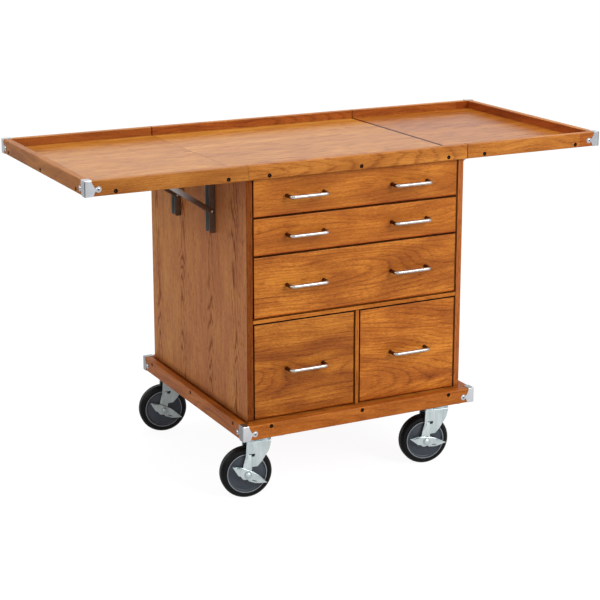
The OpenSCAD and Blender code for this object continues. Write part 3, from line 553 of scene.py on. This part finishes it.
def thick_sheet(top, depth, keep=None):
    """Closed solid under a grid of points: lower = top - depth * n, with n = du x dv / |du x dv|.

    keep is a (rows-1, cols-1) array of which cells of the sheet are there, for pierced holes."""
    n = np.cross(np.gradient(top, axis=0), np.gradient(top, axis=1))
    n /= np.maximum(np.linalg.norm(n, axis=-1, keepdims=True), 1e-9)
    rows, cols = top.shape[:2]
    loop = join([top, (top - depth * n)[:, ::-1]], axis=1)
    faces = grid_faces(rows, 2 * cols, True)
    if keep is not None:
        rim = np.ones((rows - 1, 1), bool)
        faces = faces[join([keep, rim, keep[:, ::-1], rim], axis=1).ravel()]
    j = np.arange(cols - 1)
    end = np.stack([j, j + 1, 2 * cols - 2 - j, 2 * cols - 1 - j], -1)
    return loop.reshape(-1, 3), join([faces, end, end + (rows - 1) * 2 * cols]).tolist()


def ringed(rings):
    """Form from a stack of closed rings of points, shut by a flat face at both ends."""
    rows, cols = rings.shape[:2]
    ends = [list(range(cols)), list(range((rows - 1) * cols, rows * cols))]
    return rings.reshape(-1, 3), grid_faces(rows, cols, True).tolist() + ends


def plate(outline, thick, edge):
    """Plate in the XZ plane from y = 0 to thick. Its edges are eased by moving the outline inwards
    by edge * (1 - sin t) at the height edge * (1 - cos t), along the mitre of its neighbours."""
    p = np.asarray(outline, float)
    step = np.roll(p, -1, 0) - p
    step /= np.linalg.norm(step, axis=1, keepdims=True)
    out = np.stack([step[:, 1], -step[:, 0]], -1)
    before = np.roll(out, 1, 0)
    mitre = (out + before) / np.maximum(1 + (out * before).sum(1, keepdims=True), 0.5)
    t = np.radians([0, 45, 90])
    inset = join([edge * (1 - np.sin(t)), edge * (1 - np.sin(t))[::-1]])
    high = join([edge * (1 - np.cos(t)), thick - edge * (1 - np.cos(t))[::-1]])
    flat = p[None] - inset[:, None, None] * mitre[None]
    return ringed(np.stack([flat[..., 0], np.broadcast_to(high[:, None], flat.shape[:2]), flat[..., 1]], -1))


def turned(profile, count):
    """Lathe form about the Y axis: (r cos a, y, r sin a) for each (r, y) of the profile."""
    r, y = np.asarray(profile, float).T
    a = np.linspace(0, 2 * np.pi, count, endpoint=False)
    return ringed(np.stack([np.outer(r, np.cos(a)), np.outer(y, 1 + 0 * a), np.outer(r, np.sin(a))], -1))


def arc(middle, radius, start, end, count=8):
    """Points of an arc in a plane, angles in degrees."""
    a = np.radians(np.linspace(start, end, count))
    return np.stack([middle[0] + radius * np.cos(a), middle[1] + radius * np.sin(a)], -1)


def moved(form, turn=0.0, shift=(0, 0, 0), scale=(1, 1, 1), tilt=0.0):
    """The form scaled (by 1 or -1), tilted about Y, turned about Z and shifted. Angles in degrees."""
    points, faces = form
    p = points * np.asarray(scale, float)
    c, s = math.cos(math.radians(tilt)), math.sin(math.radians(tilt))
    p = np.stack([p[:, 0] * c - p[:, 2] * s, p[:, 1], p[:, 0] * s + p[:, 2] * c], -1)
    c, s = math.cos(math.radians(turn)), math.sin(math.radians(turn))
    p = np.stack([p[:, 0] * c - p[:, 1] * s, p[:, 0] * s + p[:, 1] * c, p[:, 2]], -1)
    return p + np.asarray(shift, float), faces


def piece(name, forms, body, stands_for):
    """One object from several (form, material) pairs, riding on a body in place of CAD nodes."""
    mats = list(dict.fromkeys(mat for _, mat in forms))
    points = join([form[0] for form, _ in forms]) * 0.001
    starts = np.cumsum([0] + [len(form[0]) for form, _ in forms])
    faces = [[v + int(s) for v in face] for (form, _), s in zip(forms, starts) for face in form[1]]
    which = np.repeat([mats.index(mat) for _, mat in forms], [len(form[1]) for form, _ in forms])
    mesh = bpy.data.meshes.new(name)
    mesh.from_pydata(points.tolist(), [], faces)
    for mat in mats:
        mesh.materials.append(mat)
    mesh.polygons.foreach_set("material_index", which.astype(np.int32))
    work = bmesh.new()
    work.from_mesh(mesh)
    bmesh.ops.recalc_face_normals(work, faces=work.faces)
    work.to_mesh(mesh)
    work.free()
    mesh.shade_smooth()
    mesh.set_sharp_from_angle(angle=math.radians(35.0))
    obj = new_object(name, mesh)
    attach(obj, body)
    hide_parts(*stands_for)
    print(name, "faces:", len(mesh.polygons))


chance = np.random.default_rng(7)

# %% [markdown]
# A screw head. The dome falls off with the fourth power of the radius, which leaves a flat middle
# with a quick shoulder, and the cross-shaped recess is pressed into it: two crossed boxes whose
# sides fall off softly. The points lie on rings, so the head stays perfectly round. Every head is
# turned by another angle, as a hand would leave them.

# %% Screw heads
def screw_head(radius, height, reach, width, deep, rings=13, count=40):
    """y = -height * (1 - (r/R)^4) + deep * cross(x, z), facing -Y.

    cross = max(b(x/reach) b(z/width), b(z/reach) b(x/width)), with b(u) = clip(2.5 (1 - |u|), 0, 1)."""
    r = radius * np.linspace(0.015, 1.0, rings)[:, None] ** 0.9
    a = np.linspace(0, 2 * np.pi, count, endpoint=False)[None, :]
    x, z = r * np.cos(a), r * np.sin(a)

    def soft(u):
        return np.clip(2.5 * (1 - np.abs(u)), 0, 1)

    cross = np.maximum(soft(x / reach) * soft(z / width), soft(z / reach) * soft(x / width))
    y = -height * (1 - (r / radius) ** 4) + deep * cross
    grid = np.stack([x, y, z], -1)
    grid = join([grid, grid[-1:] + [0, 0.6, 0]])
    faces = grid_faces(len(grid), count, True)
    # the faces deep in the cross form the second form, which takes the painted shade of the recess
    pit = (cross[:-1] + cross[1:]) / 2 > 0.6
    pit = join([pit.ravel(), np.zeros(count, bool)])
    points = grid.reshape(-1, 3)
    return (points, faces[~pit].tolist()), (points, faces[pit].tolist() + [list(range(count))])


def screw_at(place, turn, head, mat):
    """The two forms of a screw head, turned about its own axis by chance, at a place facing a way."""
    spin = chance.uniform(0, 90)
    return [(moved(head[0], turn, place, tilt=spin), mat),
            (moved(head[1], turn, place, tilt=spin), recess_shade)]


BOTH_SIDES = ("l", "left", -1), ("r", "right", 1)
rail_head = screw_head(4.6, 0.9, 2.4, 0.75, 1.0)
cap_head = screw_head(5.0, 1.8, 3.1, 0.85, 1.5)
top_z, base_z = 781, 188
sides = (-292.8, 0), (294.8, 180)
spots = [("panel_screws", x, y, top_z, turn) for x in (-238, 0, 238) for y, turn in sides]
for side, _, s in BOTH_SIDES:
    name = f"leaf_screws_{side}"
    spots += [(name, s * x, y, top_z, turn) for x in (339.6, 607.6) for y, turn in sides]
    spots += [(name, s * 676.4, y, top_z, s * 90) for y in (-234, 6, 246)]
for a in (0, 90, 180, 270):
    wide, far = (243, 306.8) if a % 180 == 0 else (249, 314.3)
    c, s = math.cos(math.radians(a)), math.sin(math.radians(a))
    spots += [("panel_screws", x * c + far * s, x * s - far * c, base_z, a) for x in (-wide, 0, wide)]
heads = [(name, screw_at(place, turn, rail_head, screw_black)) for name, *place, turn in spots]
for name, body in (("panel_screws", "case"), ("leaf_screws_l", "leaf_left"), ("leaf_screws_r", "leaf_right")):
    piece(f"{name}_dressed", sum([forms for owner, forms in heads if owner == name], []), body, [name])

# %% [markdown]
# A corner cap is one sheet folded round the corner and over the top. Its surface is a function of
# the way s along the sheet, round the corner, and of the height between the sheet's lower and upper
# outline at that s. The outlines narrow to a neck and widen again to the round ear that takes the
# screw. A second grid bends over the top edge. Both get the thickness of the sheet.

# %% Corner caps
# the sheet, the fold's length on its two sides, and the ear's distance, height and radius
SHEET = 1.2
NARROW, WIDE = 14.4, 22.5
EAR_OUT, EAR_UP, EAR_R = 30, 15.5, 7


def cap_forms(h, plated):
    """Wall: plan(s) + z, z from low(a) to high(a), a = |s| - q + R - t the distance from the corner.

    Round the corner the plan is an arc of radius R about (R - t, R - t), q = R pi / 4 on each side.
    The way that starts along Y keeps its full height nearly to the ear, the other one narrows sooner.
    Ear: low, high = e -+ sqrt(r^2 - (a - e0)^2)."""
    t, bend, lip = SHEET, 2.6, 1.7
    q = bend * math.pi / 4
    far = join([np.linspace(bend - t, NARROW, 8), [14.6, 16, 17.5, 18.5, 19.5, 20.5, 21.5, WIDE],
                EAR_OUT - EAR_R * np.cos(np.radians(np.linspace(22, 178, 15)))])
    s = join([np.linspace(0, q, 5)[:-1], q + far - (bend - t)])
    s = join([-s[:0:-1], s])
    a = np.maximum(np.abs(s) - q + bend - t, 0)
    low = np.interp(a, [0, 17.5, 19.5, 21.5, 23.5, 40], [0, 0, 4, 9, 12, 12])
    high = np.interp(a, [0, NARROW, 14.6, 16, 18.5, 20.5, 23.5, 40],
                     [h + t - lip, h + t - lip, h, h - 6, 25, 21, 19, 19])
    high = np.where((s < 0) & (a < WIDE + 0.1), h + t - lip, high)
    half = np.sqrt(np.maximum(EAR_R ** 2 - (a - EAR_OUT) ** 2, 0.05))
    half = np.where(a < EAR_OUT, np.maximum(half, 3.5), half)
    ear = a >= 23
    low, high = np.where(ear, EAR_UP - half, low), np.where(ear, EAR_UP + half, high)

    def plan(way):
        turn = np.clip(way / bend, -np.pi / 4, np.pi / 4) - 3 * np.pi / 4
        out = np.stack([np.cos(turn), np.sin(turn)], -1)
        past = np.maximum(np.abs(way) - q, 0)
        along = np.where(way[:, None] > 0, [1.0, 0.0], [0.0, 1.0])
        return bend - t + bend * out + past[:, None] * along, out

    v = np.linspace(0, 1, 9)
    flat, out = plan(s)
    z = low[:, None] + v * (high - low)[:, None]
    wall = join([np.broadcast_to(flat[:, None], (len(s), len(v), 2)), z[..., None]], -1)
    past = q - (bend - t) + 1e-6
    top = s[(s >= -WIDE - past) & (s <= NARROW + past)]
    rim, out = plan(top)
    b = np.linspace(0, np.pi / 2, 5)[None, :, None]
    fold = rim[:, None] - out[:, None] * lip * (1 - np.cos(b))
    rise = h + t - lip + lip * np.sin(b[..., 0]) * np.ones((len(top), 1))
    u = ((top - top[0]) / (top[-1] - top[0]))[:, None]
    goal = (1 - u) * [15.2, WIDE] + u * [15.4, 6.0]
    w = np.linspace(0, 1, 5)[None, 1:, None]
    lid = fold[:, -1:] * (1 - w) + goal[:, None] * w
    rise = join([rise, np.full((len(top), 4), h + t)], 1)
    flange = join([join([fold, lid], 1), rise[..., None]], -1)
    return [(thick_sheet(sheet, t - 0.05), plated) for sheet in (wall, flange)]


def cap_at(h, corner, flip, plated=nickel):
    """Every form of a cap at a corner, with flip = (1 or -1, 1 or -1) for the way its sides run.

    At the back X and Y change places, so that each cap there is a front one turned round."""
    forms = cap_forms(h, plated)
    if flip[1] < 0:
        forms = [((form[0][:, [1, 0, 2]], form[1]), mat) for form, mat in forms]
    forms += screw_at((EAR_OUT, -SHEET, EAR_UP), 0, cap_head, nickel)
    forms += screw_at((-SHEET, EAR_OUT, EAR_UP), -90, cap_head, nickel)
    return [(moved(form, shift=corner, scale=(*flip, 1)), mat) for form, mat in forms]


BASE_X, BASE_Y, BASE_Z = 315.5, 308, 160
LEAF_X, FRONT_Y, BACK_Y, LEAF_Z = 677.6, -294, 296, 773
base = [cap_at(36, (-sx * BASE_X, -sy * BASE_Y, BASE_Z), (sx, sy), nickel_lit_base_caps)
        for sx in (1, -1) for sy in (1, -1)]
piece("base_caps_folded", sum(base, []), "case", ["base_caps"])
for side, word, s in BOTH_SIDES:
    caps = [form for y, way in ((FRONT_Y, 1), (BACK_Y, -1))
            for form in cap_at(35, (s * LEAF_X, y, LEAF_Z), (-s, way))]
    piece(f"leaf_caps_{side}_folded", caps, f"leaf_{word}", [f"leaf_caps_{side}"])

# %% [markdown]
# A handle is a round rod bent twice. At each point of its path a circle is drawn square to it, and
# a small dark ring at each foot, where the rod meets the wood, is painted shade.

# %% Handles
def rod(path, radius, count=20):
    """Points c(u) + r (cos a n(u) + sin a b): n is square to the path in its plane and b to both."""
    c = np.asarray(path, float)
    way = np.gradient(c, axis=0)
    way /= np.linalg.norm(way, axis=1, keepdims=True)
    b = np.array([0.0, 0.0, 1.0])
    n = np.cross(b, way)
    a = np.linspace(0, 2 * np.pi, count, endpoint=False)
    return ringed(c[:, None] + radius * (np.cos(a)[:, None] * n[:, None] + np.sin(a)[:, None] * b))


def handle_forms(x, z):
    """Bent rod 96 between its feet, 26 out, bends of 9, with a dark ring of painted shade round each foot."""
    half = join([[[48, 0], [48, -6], [48, -12]],
                 arc((39, -17), 9, 0, -90, 11), [[20, -26], [0, -26]]])
    path = join([half, (half * [-1, 1])[-2::-1]])
    path = np.column_stack([path, np.zeros(len(path))])
    front_y = -278
    forms = [(moved(rod(path, 4.4), shift=(x, front_y, z)), chrome)]
    foot_shade_ring = turned([(4.0, -0.7), (4.8, -0.7), (4.8, -1.2), (4.6, -1.4), (4.2, -1.5), (4.0, -1.5)], 28)
    return forms + [(moved(foot_shade_ring, shift=(x + s * 48, front_y, z)), screw_black) for s in (-1, 1)]


two = (-139, 139)
for n, xs, z in ((1, two, 727), (2, two, 635.5), (3, two, 515.8), (4, (-140,), 312.8), (5, (140,), 312.8)):
    node = f"handles_{n}" if n < 4 else f"handle_{n}"
    piece(f"{node}_bent", sum([handle_forms(x, z) for x in xs], []), f"drawer_{n}", [node])

# %% [markdown]
# The folding brackets on the case. A wall channel is rolled from one strip: its section runs down
# one flange, round a bend, over the web and up the other flange, and the flanges are rounded off at
# both ends, so the section's depth depends on the height. The pins have peened, bright ends.

# %% Folding brackets
def channel_form(x0, low, high, width=24.0, depth=16.0, sheet=1.6, bend=2.6, nose=5.0):
    """Section (x, y) of a channel open to +X, swept in z, of the depth
    d(z) = depth - nose + sqrt(nose^2 - (nose - e)^2), e = distance from the nearer end, up to nose."""
    z = join([low + nose * (1 - np.cos(np.radians(np.linspace(0, 90, 7)))),
              high - nose * (1 - np.cos(np.radians(np.linspace(90, 0, 7))))])
    e = np.minimum(np.minimum(z - low, high - z), nose)
    d = depth - nose + np.sqrt(np.maximum(nose ** 2 - (nose - e) ** 2, 0))
    h = width / 2
    leg = np.linspace(1, 0, 5)[:-1]
    web = join([arc((bend, h - bend), bend, 90, 180, 6), arc((bend, bend - h), bend, 180, 270, 6)])
    section = [(bend + f * (d - bend), h) for f in leg] + [tuple(spot) for spot in web]
    section += [(bend + f * (d - bend), -h) for f in leg[::-1]]
    rows = [np.stack([x + 0 * z, y + 0 * z, z], -1) for x, y in section]
    points, faces = thick_sheet(np.array(rows), sheet)
    return points + [x0, 0, 0], faces


def pin_forms(x, z, r, half, head):
    """A pin through a bracket along Y, with a domed head at each end and a bright peened middle."""
    dome = [(head * math.cos(t), half + 1.7 * math.sin(t)) for t in np.radians(np.linspace(0, 62, 6))]
    side = [(r, 0), (r, half), (head, half)] + dome[1:]
    nub = [(dome[-1][0], dome[-1][1]), (dome[-1][0] * 0.75, half + 1.78), (0.1, half + 1.8)]
    return [(moved(turned(profile, 28), shift=(x, 0, z), scale=(1, s, 1)), mat)
            for s in (1, -1) for profile, mat in ((side, dark_steel), (nub, rivet_steel))]


# the hinge pin and the lower rivet of a channel, (x, z), and the length and slope of the straps
HINGE, RIVET = (302, 761), (299.5, 667.5)
STRAP, STRAP_TILT = 172.5, 34.0157
walls = []
strap_outline = join([arc((STRAP, 0), 6, -90, 90, 12), arc((0, 0), 6, 90, 270, 12)])
for side, word, s in BOTH_SIDES:
    straps = []
    for y in (-97.5, 109.5):
        forms = [(channel_form(290, 614.99, 768.99), channel_steel)]
        forms += pin_forms(*HINGE, 3, 18.6, 5) + pin_forms(*RIVET, 2.5, 14.45, 4.5)
        walls += [(moved(form, shift=(0, y, 0), scale=(s, 1, 1)), mat) for form, mat in forms]
        pair = [(moved(plate(strap_outline, 2.0, 0.5), shift=(0, inner, 0)), strap_steel)
                for inner in (12.3, -14.3)]
        pair += [(moved(turned([(3, -16.4), (3, 16.4)], 24), shift=(STRAP, 0, 0)), rivet_steel)]
        for form, mat in pair:
            form = moved(form, tilt=STRAP_TILT, shift=(RIVET[0], 0, RIVET[1]))
            straps.append((moved(form, shift=(0, y, 0), scale=(s, 1, 1)), mat))
    piece(f"brace_{side}_straps", straps, f"brace_{word}", [f"brace_{side}"])
piece("wall_channels_rolled", walls, "case", ["wall_channels"])

# %% [markdown]
# The casters. The fork is one pressed sheet: its section runs up one cheek, over the head with two
# bends and down the other, and its front and rear edges depend on the height. A shallow crease runs
# down the rear third of each cheek, and a slot lets the spring strip out. The brake lever is a
# pressed plate between two outlines, with curled wings, and its foot tabs stand out from it.

# %% Casters
# the axle behind the swivel and over the floor, the fork's top and cheek, the nut on the lever
TRAIL, HUB, HEAD, CHEEK, BOLT = 38.0, 62.5, 146.0, 22.0, 25.6
SWIVEL_X, SWIVEL_Y, SWIVEL_TURN = 245.5, 255.3, 169


def fork_form():
    """Grid over the way s across the fork and the fraction u from its rear to its front edge.

    Rear and front edges are x(z) through the outline's corners, and a circle of 10.2 round the
    axle. The cheek lies at y = CHEEK - crease(x, z) - ease, where ease rounds off both edges."""
    bend = 6.0
    z = join([HUB - 10.1 * np.cos(np.radians(np.linspace(0, 90, 8))),
              [66, 70, 75.5, 79.9, 80.6, 82], np.linspace(86, 104, 7), [105.5, 112.5],
              np.linspace(116, HEAD - bend, 6)])
    turn = np.radians(np.linspace(0, 90, 7))[1:]
    top_y = np.linspace(CHEEK - bend, 0, 7)[1:]
    up_y = join([np.full(len(z), CHEEK), CHEEK - bend + bend * np.cos(turn), top_y])
    up_z = join([z, HEAD - bend + bend * np.sin(turn), np.full(len(top_y), HEAD)])
    y = join([up_y, -up_y[-2::-1]])
    z = join([up_z, up_z[-2::-1]])
    rear = np.interp(z, [HUB, 80.2, 80.6, 92, 106, 120, 140], [28, 27, 13.5, 2, -7, -16, -20])
    front = np.interp(z, [HUB, 75.5, 95, 107, 140], [48, 50, 46, 42, 40])
    rnd = np.sqrt(np.maximum(10.2 ** 2 - (z - HUB) ** 2, 0.01))
    rear = np.where(z < HUB, TRAIL - rnd, rear)
    front = np.where(z < HUB, TRAIL + rnd, front)
    u = np.array([0, 0.02, 0.06, 0.2, 0.34, 0.46, 0.575, 0.61, 0.7, 0.8, 0.857, 0.94, 0.98, 1.0])
    span = (front - rear)[:, None]
    x = rear[:, None] + u * span
    side = np.sign(y)[:, None]
    gap = np.minimum(u * span, (1 - u) * span)
    ease = 0.8 * (1 - np.sqrt(np.clip(1 - (1 - np.clip(gap / 0.8, 0, 1)) ** 2, 0, 1)))
    crease = np.clip((13.5 - x) * 0.09, 0, 2.2) * np.clip((HEAD - 4 - z) / 14, 0, 1)[:, None]
    grid = np.stack([x, y[:, None] - side * (crease + ease), z[:, None] + 0 * x], -1)
    zc = (z[:-1] + z[1:])[:, None] / 2
    uc = (u[:-1] + u[1:])[None] / 2
    hole = (zc > 105.5) & (zc < 112.5) & (uc > 0.575) & (uc < 0.857)
    return thick_sheet(grid, 2.6, ~hole)


def lever_forms():
    """Plate between lower(x) and upper(x): y = BOLT + curl, curl = 1.6 (|x| / 50)^2 + 0.7 boss(r).

    boss(r) = 1 inside 9 mm of the bolt, falling to 0 at 12 mm. The slot under the rear wing is a
    row of cells left out. Each tab leaves the plate in a bend of 2 mm and runs straight out."""
    x = join([np.linspace(-51, -28, 8), [-27, -16], np.linspace(-14, 14, 15), np.linspace(17, 43, 9)])
    upper = np.interp(x, [-51, -25, -9, 11, 26, 43], [0.3, 9, 11, 10.5, 9, 3.3])
    lower = np.interp(x, [-51, -37, -24, -9, -5, 3, 9, 13, 20, 31, 43],
                      [-0.3, -8, -13, -14, -11, -15.5, -14, -11, -11.5, -5, 2.7])
    v = np.array([0, 0.03, 0.17, 0.27, 0.42, 0.56, 0.7, 0.84, 0.97, 1.0])
    z = lower[:, None] + v * (upper - lower)[:, None]
    xx = x[:, None] + 0 * z
    r = np.hypot(xx, z)
    y = BOLT - 0.7 + 1.6 * (np.abs(xx) / 50) ** 2 + 0.7 * np.clip((12 - r) / 3, 0, 1)
    y = y - 0.5 * (np.minimum(v, 1 - v) < 0.01)
    grid = np.stack([xx, y, z], -1)
    keep = np.ones((len(x) - 1, len(v) - 1), bool)
    keep[8, 2] = False
    forms = [thick_sheet(grid[:, ::-1], 1.7, keep[:, ::-1])]
    for x0, length, tilt, rise in ((-41, 16, -19.5, 0.3), (20, 15, 19, 7.2)):
        along = np.linspace(0, length, 7)[:, None]
        bend = np.radians(np.linspace(0, 90, 6))
        out = join([2 * np.sin(bend), np.linspace(2.8, 7.3, 5)]) - 0.3
        up = join([-2 * np.cos(bend), np.zeros(5)])
        tab = np.stack([along + 0 * out, out + 0 * along, up + 1.2 + 0 * along], -1)
        forms.append(moved(thick_sheet(tab[::-1], 1.7), tilt=-tilt, shift=(x0, BOLT - 0.6, rise)))
    return forms


strip = [(10, 26), (3, 35), (-1, 41), (-1, 48), (-9, 48), (-9, 36), (-7, 15), (12, 15)]
core_side = [(6.1, 18.5), (14.2, 18.5), (15.0, 17.7), (15.6, 13.0), (17.5, 12.2), (40.5, 12.7), (41.3, 12.2),
             (42.3, 12.2), (43.1, 12.9), (45.2, 13.2), (46.0, 15.6), (46.4, 16.0)]
lip = [(46.4, 16.0), (48.4, 16.0), (48.5, 15.8)]
half_tyre = [(48.5, 15.8), (49.5, 16.0), (51.6, 16.0), (52.0, 15.7), (52.6, 15.7), (53.0, 15.9), (55.0, 15.6)]
tread = [(62.5 - 7 * max(0.0, (w - 6) / 10) ** 2, w) for w in np.linspace(15.2, 0, 16)]


def mirrored(side):
    """A lathe profile from its near half: the half, then the same with y turned over, backwards."""
    return side + [(r, -y) for r, y in side[::-1]]


def open_ring(profile):
    """A lathe form without its two end faces."""
    points, faces = turned(profile, 96)
    return points, faces[:-2]


hexagon = arc((0, 0), 9.8 / math.cos(math.radians(30)) * 0.87, 30, 330, 6)
nut = [(0.1, 5.1), (3.2, 5.0), (5.2, 4.4), (6.5, 3.2), (6.8, 2.0), (6.8, 1.3), (7.7, 1.1), (7.8, 0.6),
       (7.8, 0.0)]
shank = [(0.1, -22), (6, -22), (6, 26.6), (0.1, 26.6)]
# painted shade: a thin dark ring round the nut, where it sits on the lever
nut_shade_ring = [(7.7, 0.0), (8.7, 0.0), (8.7, 0.5), (7.7, 0.5)]
fork_shape = fork_form()
lever_shapes = lever_forms()
points, faces = turned([(6.2, 0), (26, 0), (25.5, 1.2), (24, 3.7), (6.2, 3.7)], 64)
race = moved((points[:, [0, 2, 1]], faces), shift=(0, 0, HEAD))
clip = moved(plate([(x + TRAIL, z + HUB) for x, z in strip], 1.1, 0.3), shift=(0, CHEEK, 0))
for place, sx, sy, tilt in (("fl", -1, -1, 27), ("fr", 1, -1, 8), ("bl", -1, 1, 27), ("br", 1, 1, 27)):
    spot = (sx * SWIVEL_X, sy * SWIVEL_Y, 0)
    # the rear casters take the darker zinc, painted shade
    plated = zinc if sy < 0 else zinc_rear_shaded

    def on_fork(form):
        return moved(form, turn=SWIVEL_TURN, shift=spot)

    def on_axle(form, lean=0.0):
        return on_fork(moved(form, tilt=lean, shift=(TRAIL, 0, HUB)))

    fork = [(on_fork(fork_shape), plated), (on_fork(race), plated),
            (on_fork(clip), spring if sy < 0 else zinc_rear_shaded)]
    piece(f"fork_{place}_pressed", fork, f"swivel_{place}", [f"fork_{place}"])
    piece(f"lever_{place}_pressed", [(on_axle(f, tilt), plated) for f in lever_shapes],
          f"lever_{place}", [f"brake_lever_{place}"])
    bolt = [(turned(shank, 32), zinc_dark), (moved(turned(nut, 40), shift=(0, BOLT, 0)), plated),
            (moved(turned(nut_shade_ring, 40), shift=(0, BOLT, 0)), zinc_dark),
            (moved(plate(hexagon, 5.0, 0.7), shift=(0, -27, 0)), zinc)]
    piece(f"axle_{place}_bolt", [(on_axle(f), mat) for f, mat in bolt], f"swivel_{place}", [f"axle_{place}"])
    core = [(open_ring(mirrored(core_side)), slate)]
    core += [(moved(open_ring(lip), scale=(1, s, 1)), lip_grey) for s in (1, -1)]
    piece(f"wheel_core_{place}_moulded", [(on_axle(f), mat) for f, mat in core],
          f"wheel_{place}", [f"wheel_core_{place}"])
    tyre = open_ring(mirrored(half_tyre + tread[:-1]) + [half_tyre[0]])
    piece(f"tyre_{place}_moulded", [(on_axle(tyre), rubber)], f"wheel_{place}", [f"tyre_{place}"])
